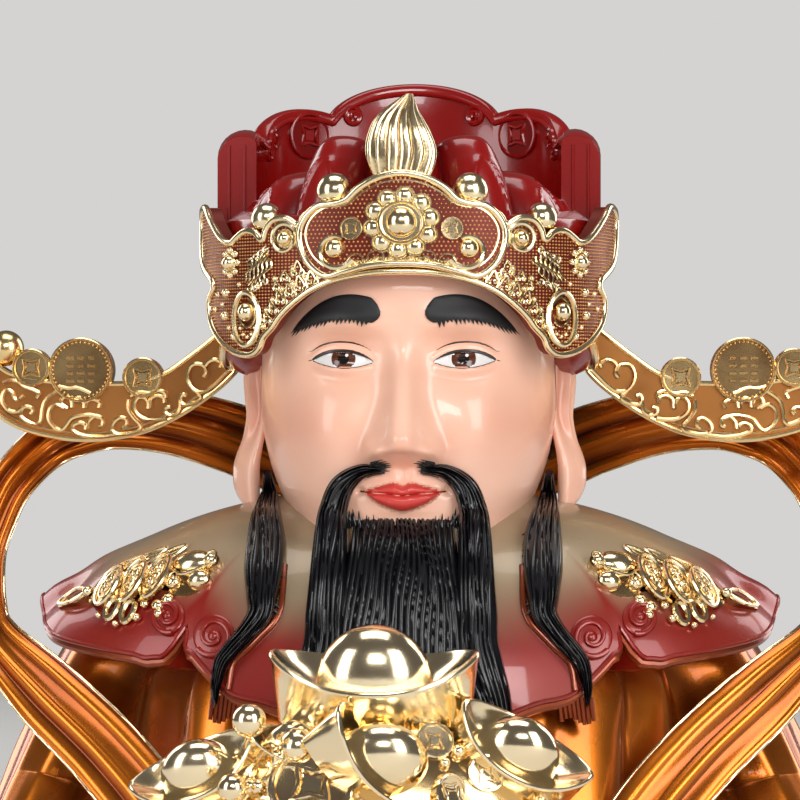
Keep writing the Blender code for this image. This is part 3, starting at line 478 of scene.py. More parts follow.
# Wing gilding: the low colour is painted shade in the fields of the coins.
WING_GOLD = material("wing_gilding", (0.40, 0.20, 0.07), (0.95, 0.70, 0.34), 0.24, metallic=1.0, patch=60, spread=0.2)
COLLAR = material("collar_lacquer", (0.42, 0.31, 0.19), (0.27, 0.009, 0.004), 0.30, metallic=0.2, coat=0.45,
                  spread=0.06, grain=1400, bump=0.05)
# Robe lacquer: the dark low colour is painted shade in the folds and the bright high colour a painted highlight on
# their ridges.
ROBE = material("robe_lacquer", (0.10, 0.006, 0.001), (0.80, 0.22, 0.014), 0.27, metallic=0.85, coat=0.3,
                spread=0.20, grain=1400, bump=0.06)
SILVER = material("inner_collar_silver", (0.25, 0.24, 0.25), (0.55, 0.54, 0.55), 0.3, metallic=0.7, spread=0.2)
# Dark copper-red of the seams and the fringe; on the band under the collar's edge the same dark colour is painted
# shade.
DARK_COPPER_AND_SHADE = material("collar_dark_copper_and_shade", (0.08, 0.006, 0.002), (0.26, 0.045, 0.010), 0.3, metallic=0.6, coat=0.4,
                      patch=60)


# Head and face

def bump(x, z, cx, cz, sx, sz, height):
    return height * np.exp(-((x - cx) / sx) ** 2 - ((z - cz) / sz) ** 2)


def eye_upper(e):
    """Upper edge of the eye opening; e runs from the inner (-1) to the outer corner (1)."""
    return EYE_Z + 3.5 * np.maximum(1 - np.abs(e) ** 2.2, 0) ** 0.9 + 0.35 * e


def eye_lower(e):
    return EYE_Z - 2.3 * np.maximum(1 - e**2, 0) + 0.35 * e


def mouth_line(x):
    return MOUTH_Z + 0.9 * (x / LIP_HALF_WIDTH) ** 2 - 0.5 * np.exp(-(x / 3.0) ** 2)


def lip_top(x):
    s = np.clip(np.abs(x) / LIP_HALF_WIDTH, 0, 1)
    bow = 0.7 * np.exp(-((np.abs(x) - 3.0) / 1.9) ** 2) - 0.7 * np.exp(-(x / 1.6) ** 2)
    return mouth_line(x) + 4.0 * (1 - s**1.7) + bow * (1 - s)


def lip_bottom(x):
    s = np.clip(np.abs(x) / (LIP_HALF_WIDTH - 1), 0, 1)
    return mouth_line(x) - 5.2 * (1 - s**2.2) ** 0.9


def face_relief(x, z):
    """How far the face stands out of the plain head at a place seen from the front."""
    side = np.abs(x)
    nose_width = 5.5 + 3.0 * ease(180, 160, z)
    out = follow(NOSE_PROFILE, z) * np.exp(-(side / nose_width) ** 2.4)
    out = out + bump(side, z, 9.5, 157.5, 3.9, 3.6, 6.0)
    out += bump(side, z, 13.6, 158, 1.5, 4.2, -0.8)
    out += bump(side, z, 21, 201, 15, 4.8, 3.0)
    out += bump(side, z, EYE_X - 2, EYE_Z + 1.5, 13, 8, -6.5)
    out += bump(side, z, EYE_X, EYE_Z, 8.5, 4.8, 6.2)
    out += bump(side, z, 27, 165, 15, 14, 4.2)
    out += bump(x, z, 0, 126, 15, 8, 4.5)
    out += bump(x, z, 0, 134.5, 11, 2.6, -2.2)
    out += bump(side, z, 2.9, 151, 1.1, 3.2, 0.5) + bump(x, z, 0, 151, 1.5, 3.4, -0.8)

    # Lids: the eye lies a little under their edges, with a crease over the upper one
    e = (side - EYE_X) / EYE_HALF_WIDTH
    wide = np.clip(e, -1, 1)
    upper = eye_upper(wide)
    lower = eye_lower(wide)
    within = np.minimum(np.minimum(upper - z, z - lower), (1 - np.abs(e)) * 3)
    near_eye = np.exp(-np.maximum(np.abs(e) - 1, 0) ** 2 / 0.03)
    out -= 1.0 * ease(-0.35, 0.35, within) * near_eye
    crease = np.exp(-((z - upper - 3.1) / 0.55) ** 2) * ease(1.25, 0.8, np.abs(e))
    out -= 0.7 * crease
    out += 0.5 * np.exp(-((z - upper - 1.4) / 1.1) ** 2) * ease(1.2, 0.8, np.abs(e))
    out += 0.45 * np.exp(-((z - lower + 1.3) / 1.0) ** 2) * ease(1.1, 0.7, np.abs(e))
    out -= 0.35 * np.exp(-((z - lower + 3.8) / 0.9) ** 2) * ease(1.1, 0.6, np.abs(e))

    # Lips
    middle = mouth_line(x)
    top = np.clip((z - middle) / np.maximum(lip_top(x) - middle, 0.3), 0, 1)
    low = np.clip((middle - z) / np.maximum(middle - lip_bottom(x), 0.3), 0, 1)
    full = ease(LIP_HALF_WIDTH + 1.5, LIP_HALF_WIDTH - 5, side)
    out += full * (3.4 * np.sqrt(np.maximum(1 - (2 * top - 0.75) ** 2 / 1.6, 0)) * (z >= middle) * (top < 1)
                   + 3.8 * np.sqrt(np.maximum(1 - (2 * low - 0.8) ** 2 / 1.5, 0)) * (z < middle) * (low < 1))
    out += bump(x, z, 0, MOUTH_Z, 15, 7.5, 1.6)
    out += bump(side, z, LIP_HALF_WIDTH + 0.5, MOUTH_Z + 1, 1.8, 1.5, -1.2)
    out -= 1.1 * np.exp(-((z - middle) / 0.5) ** 2) * ease(LIP_HALF_WIDTH + 0.6, LIP_HALF_WIDTH - 1.5, side)
    return out


def face_y(x, z, off=0.0):
    """Depth of the face's skin at a place seen from the front."""
    width = follow(HEAD_RINGS, z, 1)
    turn = np.clip(np.abs(x) / width, 0, 1) ** (HEAD_POWER / 2)
    forward = np.sqrt(1 - turn**2)
    reach = follow(HEAD_RINGS, z, 2)
    return HEAD_AXIS_Y - reach * forward ** (2 / HEAD_POWER) - face_relief(x, z) * ease(0.0, 0.35, forward) - off


def head_point(angle, z, off=0.0):
    """Points of the head's skin; the angle turns from the front to the figure's sides."""
    turn = np.radians(angle)
    width = follow(HEAD_RINGS, z, 1) + off
    forward = np.cos(turn)
    x = width * bent(np.sin(turn), HEAD_POWER)
    reach = np.where(forward > 0, follow(HEAD_RINGS, z, 2), follow(HEAD_RINGS, z, 3)) + off
    y = HEAD_AXIS_Y - reach * bent(forward, HEAD_POWER)
    y = y - np.where(forward > 0, face_relief(x, z) * ease(0.0, 0.35, forward), 0)
    return np.stack([x, y, z + 0 * x], axis=-1)


def head():
    angles = np.concatenate([np.arange(-96, 96, 0.62), np.arange(96, 264, 5.0)])
    heights = np.concatenate([np.arange(104, 128, 1.2), np.arange(128, 212, 0.62), np.arange(212, 227, 1.5)])
    a, z = np.meshgrid(angles, heights)
    skin = head_point(a, z)
    side = np.abs(skin[..., 0])
    x = skin[..., 0]
    # Darker, warmer skin on the cheeks, the nose, round the mouth and beside the ears is blush; in the eye sockets, at
    # the nostrils and the creases beside them and under the hat's edge it is painted shade.
    blush_and_shade = (bump(side, z, 33, 166, 13, 12, 0.34) + bump(side, z, 21, 196, 14, 5, 0.22)
             + bump(x, z, 0, 158, 9, 6, 0.30) + bump(side, z, 15, 157, 4, 7, 0.25) + bump(x, z, 0, 144, 17, 7, 0.3)
             + bump(side, z, EYE_X, EYE_Z - 4, 13, 3, 0.2) + bump(x, z, 0, 219, 60, 8, 0.25)
             + bump(side, z, 49, 165, 7, 40, 0.3))
    return grid(skin, wrap=True, ends=True, tone=1 - np.clip(blush_and_shade, 0, 0.75))


# Ear: height, width from the head to the rim, depth of the hollow, thickness
EAR_ROWS = (
    (137, 3.5, 0, 3.0), (139.5, 8, 0, 5.0), (144, 12, 0, 6.4), (150, 13.0, 0, 6.6), (156, 12.4, 0.2, 5.8),
    (162, 11, 1.4, 4.6), (168, 10.5, 2.2, 4.2), (176, 12, 2.6, 4.0), (184, 12.6, 2.0, 3.8), (190, 9.5, 0.8, 3.4),
    (194, 4, 0, 2.6),
)
EAR_FLARE = 38.0


def ear(side):
    """Ear with a rolled rim, a hollow and the long lobe of a god of fortune."""
    z = np.linspace(EAR_ROWS[0][0], EAR_ROWS[-1][0], 84)[:, None]
    a = np.linspace(0, 2 * math.pi, 48, endpoint=False)[None, :]
    width = follow(EAR_ROWS, z, 1)
    hollow = follow(EAR_ROWS, z, 2)
    thick = follow(EAR_ROWS, z, 3)
    p = 0.5 * (1 - np.cos(a))
    q = 0.5 * thick * bent(np.sin(a), 2.6)
    front = ease(0.0, 0.5, np.sin(a))
    upper = ease(158, 168, z)
    q = q + front * (-hollow * np.exp(-((p - 0.42) / 0.2) ** 2) + upper * 0.9 * np.exp(-((p - 0.93) / 0.1) ** 2)
                     + upper * 0.8 * np.exp(-((p - 0.68) / 0.08) ** 2))
    flare = math.radians(EAR_FLARE)
    root_y = -3.0 - 2.5 * ease(165, 150, z)
    x = 49.5 + 3.5 * ease(172, 150, z) + width * p * math.sin(flare) + q * math.cos(flare)
    y = root_y + width * p * math.cos(flare) - q * math.sin(flare)
    ring = np.stack([side * x, y, z + 0 * x], axis=-1)
    # The ear is a little warmer all over, a blush, and its hollow darker still as painted shade.
    tone = 1 - 0.55 * front * np.exp(-((p - 0.42) / 0.25) ** 2) * upper - 0.12
    return grid(ring, wrap=True, ends=True, tone=tone + 0 * z)


def on_face(side=1):
    """Surface of the face for painted details: u is the distance from the middle, on one side."""
    def surface(u, v, height):
        return np.stack([side * u, face_y(u, v, height), v + 0 * u], axis=-1)
    return surface


def brow_edges(t):
    """Lower and upper edge of a brow, from its inner to its outer end."""
    middle = 202.3 + 4.6 * np.sin(math.pi * (0.1 + 0.78 * t)) - 6.0 * t**2.2
    half = 4.3 * np.minimum(1, np.sqrt(t / 0.10 + 0.02)) * (1 - t**3.2) ** 0.8 + 0.25
    return middle - half, middle + half


BROW_PROUD = 0.8


def brow(side, seed):
    """Thick brush of a brow whose hairs break up its lower edge."""
    rng = random.Random(seed)
    t = np.linspace(0, 1, 46)
    low, high = brow_edges(t)
    u = 7.5 + 30.5 * t
    edge = []
    for k in range(len(t)):
        hair = rng.uniform(0.9, 2.2) if k % 2 and t[k] > 0.12 else 0.0
        edge.append((u[k] + 0.5 * hair * (2 * t[k] - 0.2), low[k] + 0.5 - hair))
    outline = list(zip(u, high)) + list(reversed(edge))
    surface = on_face(side)
    return slab(outline, lambda u, v, height: surface(u, v, height + BROW_PROUD), 1.6, step=0.9, round_by=0.3)


def eyes(side):
    """White, iris, pupil, glint and painted lid lines of one eye."""
    surface = on_face(side)

    def lifted(by):
        return lambda u, v, height: surface(u, v, height + by)

    e = np.linspace(-0.985, 0.985, 44)
    u = EYE_X + EYE_HALF_WIDTH * e
    white = np.concatenate([np.stack([u, eye_upper(e)], axis=1), np.stack([u, eye_lower(e)], axis=1)[::-1]])

    def disc(radius, cu, cv):
        a = np.linspace(0, 2 * math.pi, 40, endpoint=False)
        du = cu + radius * np.sin(a)
        de = (du - EYE_X) / EYE_HALF_WIDTH
        dv = np.clip(cv + radius * np.cos(a), eye_lower(de) + 0.05, eye_upper(de) - 0.05)
        return np.stack([du, dv], axis=1)

    gaze = EYE_X - 0.3
    parts = [
        (slab(white, lifted(0.05), 0.3, step=0.8), EYE_WHITE),
        (slab(disc(4.1, gaze, EYE_Z + 0.9), lifted(0.10), 0.2, step=0.8), IRIS),
        (slab(disc(1.9, gaze, EYE_Z + 0.9), lifted(0.15), 0.2, step=0.8), PUPIL),
        (slab(disc(0.55, gaze + side * 1.1, EYE_Z + 2.0), lifted(0.20), 0.2), GLINT),
    ]
    lash_e = np.linspace(-1.0, 1.14, 50)
    inner = np.clip(lash_e, -1, 1)
    lash_v = eye_upper(inner) + 0.10 - 2.2 * np.maximum(lash_e - 1, 0)
    width = 0.5 * ease(-1.05, -0.5, lash_e) * ease(1.16, 0.8, lash_e) + 0.08
    parts.append((wire(lifted(0.0), np.stack([EYE_X + EYE_HALF_WIDTH * lash_e, lash_v], axis=1), width, 0.12,
                       flat=0.5), LINE_AND_SHADE))
    crease_e = np.linspace(-0.9, 1.12, 40)
    crease_v = eye_upper(np.clip(crease_e, -1, 1)) + 3.1
    parts.append((wire(surface, np.stack([EYE_X + EYE_HALF_WIDTH * crease_e, crease_v], axis=1),
                       0.26 * ease(-0.95, -0.3, crease_e) * ease(1.15, 0.6, crease_e) + 0.05, 0.25, flat=0.5), LINE_AND_SHADE))
    low_e = np.linspace(-0.95, 1.0, 36)
    parts.append((wire(surface, np.stack([EYE_X + EYE_HALF_WIDTH * low_e, eye_lower(low_e) - 0.05], axis=1),
                       0.16, 0.05, flat=0.5), LINE_AND_SHADE))
    return parts


def lips():
    """Painted upper and lower lip, and a dark line along the crease between them that is painted shade."""
    surface = lambda u, v, height: np.stack([u, face_y(u, v, height + 0.4), v + 0 * u], axis=-1)
    x = np.linspace(-LIP_HALF_WIDTH + 0.1, LIP_HALF_WIDTH - 0.1, 48)
    upper = np.concatenate([np.stack([x, lip_top(x)], axis=1), np.stack([x, mouth_line(x)], axis=1)[::-1]])
    x = np.linspace(-LIP_HALF_WIDTH + 1.1, LIP_HALF_WIDTH - 1.1, 44)
    lower = np.concatenate([np.stack([x, mouth_line(x) - 0.02], axis=1), np.stack([x, lip_bottom(x)], axis=1)[::-1]])
    seam = np.linspace(-LIP_HALF_WIDTH - 0.3, LIP_HALF_WIDTH + 0.3, 40)
    # The dark line along the mouth's crease is painted shade.
    line = wire(surface, np.stack([seam, mouth_line(seam)], axis=1), 0.28, -0.1, flat=0.6)
    return [(slab(upper, surface, 0.8, step=0.6), LIPS), (slab(lower, surface, 0.8, step=0.6), LIPS), (line, LINE_AND_SHADE)]


def sideburn(side):
    """Painted hair in front of the ear, under the hat."""
    outline = [(76, 214), (84, 212), (95, 206), (97, 190), (92, 176), (88.5, 171), (86, 178), (83, 190), (78, 202)]
    surface = lambda u, v, height: head_point(side * u, v, height + 0.12)
    return slab(spline(outline, 50, closed=True), surface, 0.6, step=3.0)


def hair_back():
    """Combed hair under the hat behind the ears, down to the nape."""
    a, share = np.meshgrid(np.linspace(104, 256, 305), np.linspace(0, 1, 40))
    low = 140 + 14 * np.abs((a - 180) / 76) ** 2
    z = low + share * (190 - low)
    comb = 0.5 * np.abs(np.sin(np.radians(a) * 58 + 0.8 * np.sin(share * 5))) + 0.35 * np.cos(np.radians(a) * 17)
    outer = head_point(a, z, 1.5) + unit(head_point(a, z, 1.0) - head_point(a, z, 0.0)) * comb[..., None]
    inner = head_point(a, z, -1.0)
    ring = np.concatenate([outer, inner[:, ::-1]], axis=1)
    return grid(ring, wrap=True, ends=True)


# Beard, moustache and side locks

def lock(rows, hairs, seed, wave, ridge, jagged=0.0):
    """Lock of combed hair: a flattened tube along a smooth line whose front carries wavy strands.

    Each row is a point of the middle line, the half width and the thickness there.
    """
    rng = np.random.default_rng(seed)
    steps = 120
    path = spline(rows, steps)
    line, half, thick = path[:, :3], path[:, 3], path[:, 4]
    along = unit(np.gradient(line, axis=0))
    across = unit(np.cross(along, (0, -1, 0)))
    out = np.cross(across, along)
    out = np.where(out[:, 1:2] > 0, -out, out)
    w = np.linspace(1, -1, hairs * 5 + 1)
    s = np.linspace(0, 1, steps)[:, None]
    drift = wave * np.sin(5.2 * s + 2.2 * w[None, :] + rng.uniform(0, 6))
    drift += 0.4 * wave * np.sin(13 * s + 5 * w[None, :])
    place = (w[None, :] + drift * (1 - w[None, :] ** 2)) * hairs / 2
    strand = np.floor(place + 0.5)
    heights = rng.uniform(0.35, 1.0, 4 * hairs + 8)
    tall = heights[(strand + 2 * hairs).astype(int)]
    comb = (np.abs(np.cos(math.pi * place)) ** 0.7) * (0.35 + 0.65 * tall) - 0.3
    comb = comb - 0.45 * np.exp(-((place / 5.3 + 0.3 * np.sin(3 * s)) % 1.0 - 0.5) ** 2 / 0.004)
    fade = ease(0, 0.03, s) * ease(1.0, 0.22, np.abs(w[None, :]) ** 6)
    depth = np.abs(1 - np.abs(w[None, :]) ** 2.6) ** (1 / 2.6) * thick[:, None] + ridge * comb * fade
    front = (line[:, None] + across[:, None] * (half[:, None] * w[None, :])[..., None]
             + out[:, None] * depth[..., None])
    if jagged:
        drop = rng.uniform(0, jagged, 4 * hairs + 8)[(strand + 2 * hairs).astype(int)] * ease(0.8, 1.0, s)
        front += along[:, None] * drop[..., None]
    back_w = np.linspace(-0.9, 0.9, 9)
    back = (line[:, None] + across[:, None] * (half[:, None] * back_w[None, :])[..., None]
            - out[:, None] * (0.7 * thick[:, None] * np.sqrt(1 - back_w[None, :] ** 2))[..., None])
    ring = np.concatenate([front, back], axis=1)
    # Strand crests are lighter, the grooves between them darker and the back darkest: painted shade between and behind
    # the strands.
    tone = np.concatenate([0.35 + 0.65 * np.clip(comb + 0.3, 0, 1), np.zeros((steps, len(back_w)))], axis=1)
    return grid(ring, wrap=True, ends=True, tone=tone)


def hair_point(base, tip, radius, bend=(0, 0, 0)):
    """Single pointed hair from its root to its tip."""
    base, tip, bend = np.array(base, dtype=float), np.array(tip, dtype=float), np.array(bend, dtype=float)
    t = np.linspace(0, 1, 7)[:, None]
    path = base + (tip - base) * t + bend * (4 * t * (1 - t))
    return tube(path, radius * (1 - t[:, 0]) ** 0.8 + 0.05, sides=6, facing=(0, -1, 0), flat=0.6)


# Beard, and one side's moustache: point of the middle line, half width, thickness
BEARD = (
    (0, -48, 133, 18.5, 5), (0, -57, 122, 19, 6.5), (0, -65, 108, 21, 6.5),
    (0, -71, 92, 23, 6), (0, -76, 76, 24.5, 5.5), (0, -78, 60, 23, 4),
)
MOUSTACHE = (
    (6, -54.5, 151.5, 1.2, 1.2), (14, -54, 151, 2.6, 2.6), (20.5, -52, 146, 4.2, 3.6),
    (23.5, -52, 138, 4.8, 4.2), (24, -56, 131, 5.5, 4.5), (24.4, -60, 121, 6, 4.8),
    (24.6, -64, 113, 6.4, 5), (25, -67, 104, 6.8, 5), (25.2, -71, 95, 7, 5),
    (27, -74, 87, 7, 5), (30.5, -77, 76, 6, 4.5), (33, -79, 64, 3.5, 3),
)
# Side lock: place to the side, height, how far it stands off the chest, half width, thickness
SIDE_LOCK = (
    (49, 150, 10, 1.4, 1.8), (48.5, 141, 4, 3.2, 3.0), (47.3, 134, 4, 5.4, 3.8), (46.7, 127, 3, 6.6, 4.2),
    (46.7, 118, 3, 6.6, 4.2), (46.8, 110, 3, 5.4, 4.0), (47.3, 104, 3, 4.4, 3.8), (51.2, 98.3, 3, 3.4, 3.4),
    (56.3, 92.5, 3, 3.1, 3.2), (59.5, 88, 3, 2.7, 3.0), (61.2, 81, 2, 1.6, 1.8), (61.4, 76, 2, 0.5, 0.6),
)
BEARD_TOP_HALF = 18.5


def beard():
    """Beard of coarse wavy strands; its upper edge is a row of points that dips in the middle."""
    parts = [lock(BEARD, 20, 3, wave=0.09, ridge=1.4)]
    rng = random.Random(11)
    for k in range(40):
        x = BEARD_TOP_HALF * (2 * k / 39 - 1) + rng.uniform(-0.3, 0.3)
        foot = 131.0 + 5.0 * (x / BEARD_TOP_HALF) ** 2 + rng.uniform(-0.5, 0.5)
        length = rng.uniform(2.0, 4.2)
        tip_x = x + rng.uniform(-0.5, 0.5) + 0.04 * x
        parts.append(hair_point((x, face_y(x, foot - 4) - 0.8, foot - 4),
                                (tip_x, face_y(tip_x, foot + length) - 0.1, foot + length), 0.85, (0, -0.9, 0)))
    return parts


def moustache(side):
    rows = [(side * x, y - 0.3, z, width, thick) for x, y, z, width, thick in MOUSTACHE]
    parts = [lock(rows, 8, 21 + side, wave=0.16, ridge=1.4, jagged=3)]
    rng = random.Random(31 + side)
    for k in range(9):
        z = 149.6 + 0.5 * k
        foot_x = 12 - 0.2 * k
        tip_x = 5.5 - 0.25 * k + rng.uniform(-1.2, 1.0) + 0.12 * (k - 4) ** 2
        tip_z = z + 0.8 + 0.15 * (k - 3)
        parts.append(hair_point((side * foot_x, face_y(foot_x, z) - 0.9, z),
                                (side * tip_x, face_y(tip_x, tip_z) - 0.15, tip_z), 0.7, (0, -0.5, 0.3)))
    return parts


def on_chest(x, z, off):
    """Point that stands off the front of the shoulder dome."""
    share = (((z - SHOULDER_FOOT_Z) / SHOULDER_RISE) ** SHOULDER_POWER
             + (abs(x) / SHOULDER_HALF_WIDTH) ** SHOULDER_POWER)
    return x, -SHOULDER_DEPTH * max(1 - share, 0.0) ** (1 / SHOULDER_POWER) - off, z


def side_lock(side):
    rows = [(*on_chest(side * x, z, off), width, thick) for x, z, off, width, thick in SIDE_LOCK]
    parts = [lock(rows, 7, 41 + side, wave=0.14, ridge=1.3, jagged=3)]
    rng = random.Random(51 + side)
    for k in range(12):
        z = 131 - 2.2 * k
        inner = 46.7 - (5.6 if k < 8 else 4.6)
        base = on_chest(side * (inner + 2.5), z, 3.6)
        tip = on_chest(side * (inner - rng.uniform(0.2, 1.6)), z - rng.uniform(1.5, 3.5), 1.6)
        parts.append(hair_point(base, tip, 1.1))
    return parts


# Shoulders, collar and robe

def shoulder_height(x, y):
    far = (np.abs(x) / SHOULDER_HALF_WIDTH) ** SHOULDER_POWER + (np.abs(y) / SHOULDER_DEPTH) ** SHOULDER_POWER
    return SHOULDER_FOOT_Z + SHOULDER_RISE * np.maximum(1 - far, 0.0) ** (1 / SHOULDER_POWER)


def shoulder_normal(x, y):
    step = 0.5
    slope_x = (shoulder_height(x + step, y) - shoulder_height(x - step, y)) / (2 * step)
    slope_y = (shoulder_height(x, y + step) - shoulder_height(x, y - step)) / (2 * step)
    return unit(np.stack([-slope_x, -slope_y, np.ones_like(slope_x)], axis=-1))


def shoulder_point(phi, mu):
    """Point of the shoulder dome: phi turns from the front to the side, mu goes down from the neck."""
    turn = np.radians(phi)
    down = np.radians(mu)
    out = bent(np.sin(down), SHOULDER_POWER)
    return np.stack([SHOULDER_HALF_WIDTH * bent(np.sin(turn), SHOULDER_POWER) * out,
                     -SHOULDER_DEPTH * bent(np.cos(turn), SHOULDER_POWER) * out,
                     SHOULDER_FOOT_Z + SHOULDER_RISE * bent(np.cos(down), SHOULDER_POWER)], axis=-1)


def collar_edge(phi):
    """Steepness mu of the lobed edge, alike in the four quarters."""
    quarter = np.abs((np.asarray(phi, dtype=float) + 180) % 360 - 180)
    quarter = np.where(quarter > 90, 180 - quarter, quarter)
    return follow(COLLAR_EDGE, quarter)


def collar_skin(phi, share):
    """Points of the collar; its side tips turn up and out."""
    points = shoulder_point(phi, collar_edge(phi) * share)
    tip = ease(12, 0, np.abs(np.abs((phi + 180) % 360 - 180) - 90)) * ease(0.6, 1.0, share)
    points[..., 0] += np.copysign(COLLAR_TIP_OUT * tip, points[..., 0])
    points[..., 2] += COLLAR_TIP_UP * tip
    return points


def collar():
    """Cloud collar: pale at the neck and red toward its lobes; the front panel is red all over."""
    phi, share = np.meshgrid(np.arange(0, 360, 1.0), np.concatenate([np.linspace(0.12, 0.9, 44), [0.93, 0.96, 1.0]]))
    skin = collar_skin(phi, share)
    dish = 1.5 * np.exp(-((share - 0.87) / 0.07) ** 2) * ease(40, 60, np.abs((phi + 180) % 360 - 180))
    skin = skin - dish[..., None] * shoulder_normal(skin[..., 0], skin[..., 1])
    red = ease(0.64, 0.90, share + 0.03 * np.sin(np.radians(phi) * 6))
    red = np.maximum(red, ease(41, 35, np.abs((phi + 180) % 360 - 180)) * ease(112, 92, skin[..., 2]))
    edge = skin[-1]
    under = edge * np.array((0.985, 0.975, 1.0)) - np.array((0, 0, COLLAR_THICK))
    inner = edge * np.array((0.9, 0.88, 1.0)) - np.array((0, 0, COLLAR_THICK + 2))
    points = np.concatenate([skin, under[None], inner[None]])
    tone = np.concatenate([red, np.ones((2, red.shape[1]))])
    return grid(points, wrap=True, ends=True, tone=tone)


def collar_seam(side):
    """Raised seam between the front panel and the shoulder lobe, beside the lock of hair."""
    line = spline([(39.9, 119.8), (41, 104.2), (48.5, 94.9), (55.7, 87.6), (57.4, 79.2)], 50)
    points = np.array([on_chest(side * x, z, 0.6) for x, z in line])
    return tube(points, 1.1, 8, facing=(0, -1, 0), flat=0.8)


def collar_shade_band():
    """Thick under-band below the edge of the collar, in a dark colour that is painted shade under the edge."""
    phi = np.arange(0, 360, 1.0)
    edge = collar_skin(phi, np.ones_like(phi)) * np.array((0.99, 0.985, 1.0)) - np.array((0, 0, 2.6))
    return tube(edge, 1.5, sides=8, closed=True, facing=(0, 0, 1))


def collar_bead():
    phi = np.arange(0, 360, 0.75)
    edge = collar_skin(phi, np.ones_like(phi))
    normal = shoulder_normal(edge[:, 0], edge[:, 1])
    return tube(edge - np.array((0, 0, 0.5)), 0.85, sides=8, closed=True, facing=normal)


def on_shoulder(side, origin, axis):
    """Surface over the shoulder with its own plan origin and direction; height goes out of the dome."""
    origin, axis = np.array(origin, dtype=float), unit(axis)
    cross = np.array((-axis[1], axis[0]))

    def surface(s, w, height):
        x = origin[0] + axis[0] * s + cross[0] * w
        y = origin[1] + axis[1] * s + cross[1] * w
        normal = shoulder_normal(x, y)
        point = np.stack([x, y, shoulder_height(x, y)], axis=-1) + normal * np.asarray(height)[..., None]
        return point * np.array((side, 1, 1))

    return surface


def collar_scroll(side, x, z, radius, start, way):
    """Curled end of a collar lobe: a low disc, round as seen from the front, whose edge winds in to a knob."""
    centre = np.array(on_chest(side * x, z, 0.0))
    normal = shoulder_normal(np.array(centre[0]), np.array(centre[1]))

    def surface(u, v, height):
        drop = -(normal[0] * side * u + normal[2] * v) / normal[1]
        flat = np.stack([centre[0] + side * u, centre[1] + drop, centre[2] + v + 0 * u], axis=-1)
        return flat + normal * np.asarray(height)[..., None]

    angle = np.linspace(0, 2 * math.pi, 48, endpoint=False)
    rings = [surface(radius * share * np.sin(angle), radius * share * np.cos(angle), np.full(48, height))
             for share, height in ((1.05, -2.5), (1.02, 0.6), (0.92, 1.0), (0.6, 0.7), (0.3, 1.1))]
    disc = grid(np.array(rings), wrap=True, ends=True)
    path = coil((0, 0), 0.98 * radius, 0.25 * radius, start, 1.5 * way, 80)
    points = surface(path[:, 0], path[:, 1], np.linspace(0.9, 1.6, 80))
    coiled = tube(points, np.linspace(1.0, 0.6, 80), 8, facing=normal, flat=0.8)
    knob = button(surface(np.array(0.0), np.array(0.0), 1.0), normal, dome_rows(0.28 * radius, 1.0, 5), 16)
    return [disc, coiled, knob]


def fringe(side):
    """Comb of cords that hangs in the notch between the front and the shoulder lobe."""
    parts = []
    for k in range(8):
        x = 52 + 1.5 * k
        top = np.array(on_chest(x, 77.5 - 0.1 * k, -1.4))
        low = np.array(on_chest(x + 1.0, 69 + 1.2 * math.sin(k * 0.9), -1.8))
        path = np.linspace(top, low, 8) * np.array((side, 1, 1))
        parts.append(tube(path, np.linspace(1.0, 0.7, 8), 6, facing=(0, -1, 0)))
    return parts


def inner_collar():
    """Stand-up collar that crosses under the beard."""
    parts = []
    turn = np.radians(np.linspace(0, 360, 120, endpoint=False))
    rows = []
    for z, r in ((104, 48.0), (118, 45.4), (126, 44.0), (134, 42.4), (137, 41.5), (137.6, 40.4), (136, 39.4)):
        rows.append(np.stack([r * np.sin(turn), 4 - r * np.cos(turn), z - 9 * np.cos(turn)], axis=-1))
    parts.append(grid(np.array(rows), wrap=True, ends=True))
    r, z = 42.2, 134.5
    rim = np.stack([r * np.sin(turn), 4 - r * np.cos(turn), z - 9 * np.cos(turn)], axis=-1)
    parts.append(tube(rim, 0.8, 8, closed=True))
    return parts


def trunk():
    rows = ((-6, 98, 72, 2.4, -8), (34, 98, 72, 2.4, -8), (60, 98, 67, 2.3, -5), (84, 94, 60, 2.3, -1),
            (104, 80, 50, 2.2, 2), (134, 44, 36, 2.0, 2))
    z = np.concatenate([[0.0], np.linspace(1, 134, 90)])[:, None]
    t = np.radians(np.linspace(0, 360, 320, endpoint=False))[None, :]
    half, depth, power, shift = (follow(rows, z, k) for k in range(1, 5))
    fold = (0.4 * np.cos(11 * t + 0.012 * z) + 0.3 * np.cos(17 * t + 1.3 - 0.02 * z)
            + 1.0 * np.abs(np.cos(9.5 * t + 0.3 * np.sin(z / 20))) ** 0.5 - 0.7)
    swell = 1 + 0.024 * fold * ease(104, 60, z)
    x = half * np.copysign(np.abs(np.sin(t)) ** (2 / power), np.sin(t)) * swell
    y = shift - depth * np.copysign(np.abs(np.cos(t)) ** (2 / power), np.cos(t)) * swell
    # Fold ridges are lighter and the valleys darker: painted highlight and painted shade.
    tone = 0.5 + 0.35 * fold + 0 * z
    return grid(np.stack([x, y, z + 0 * x], axis=-1), wrap=True, ends=True, tone=tone)


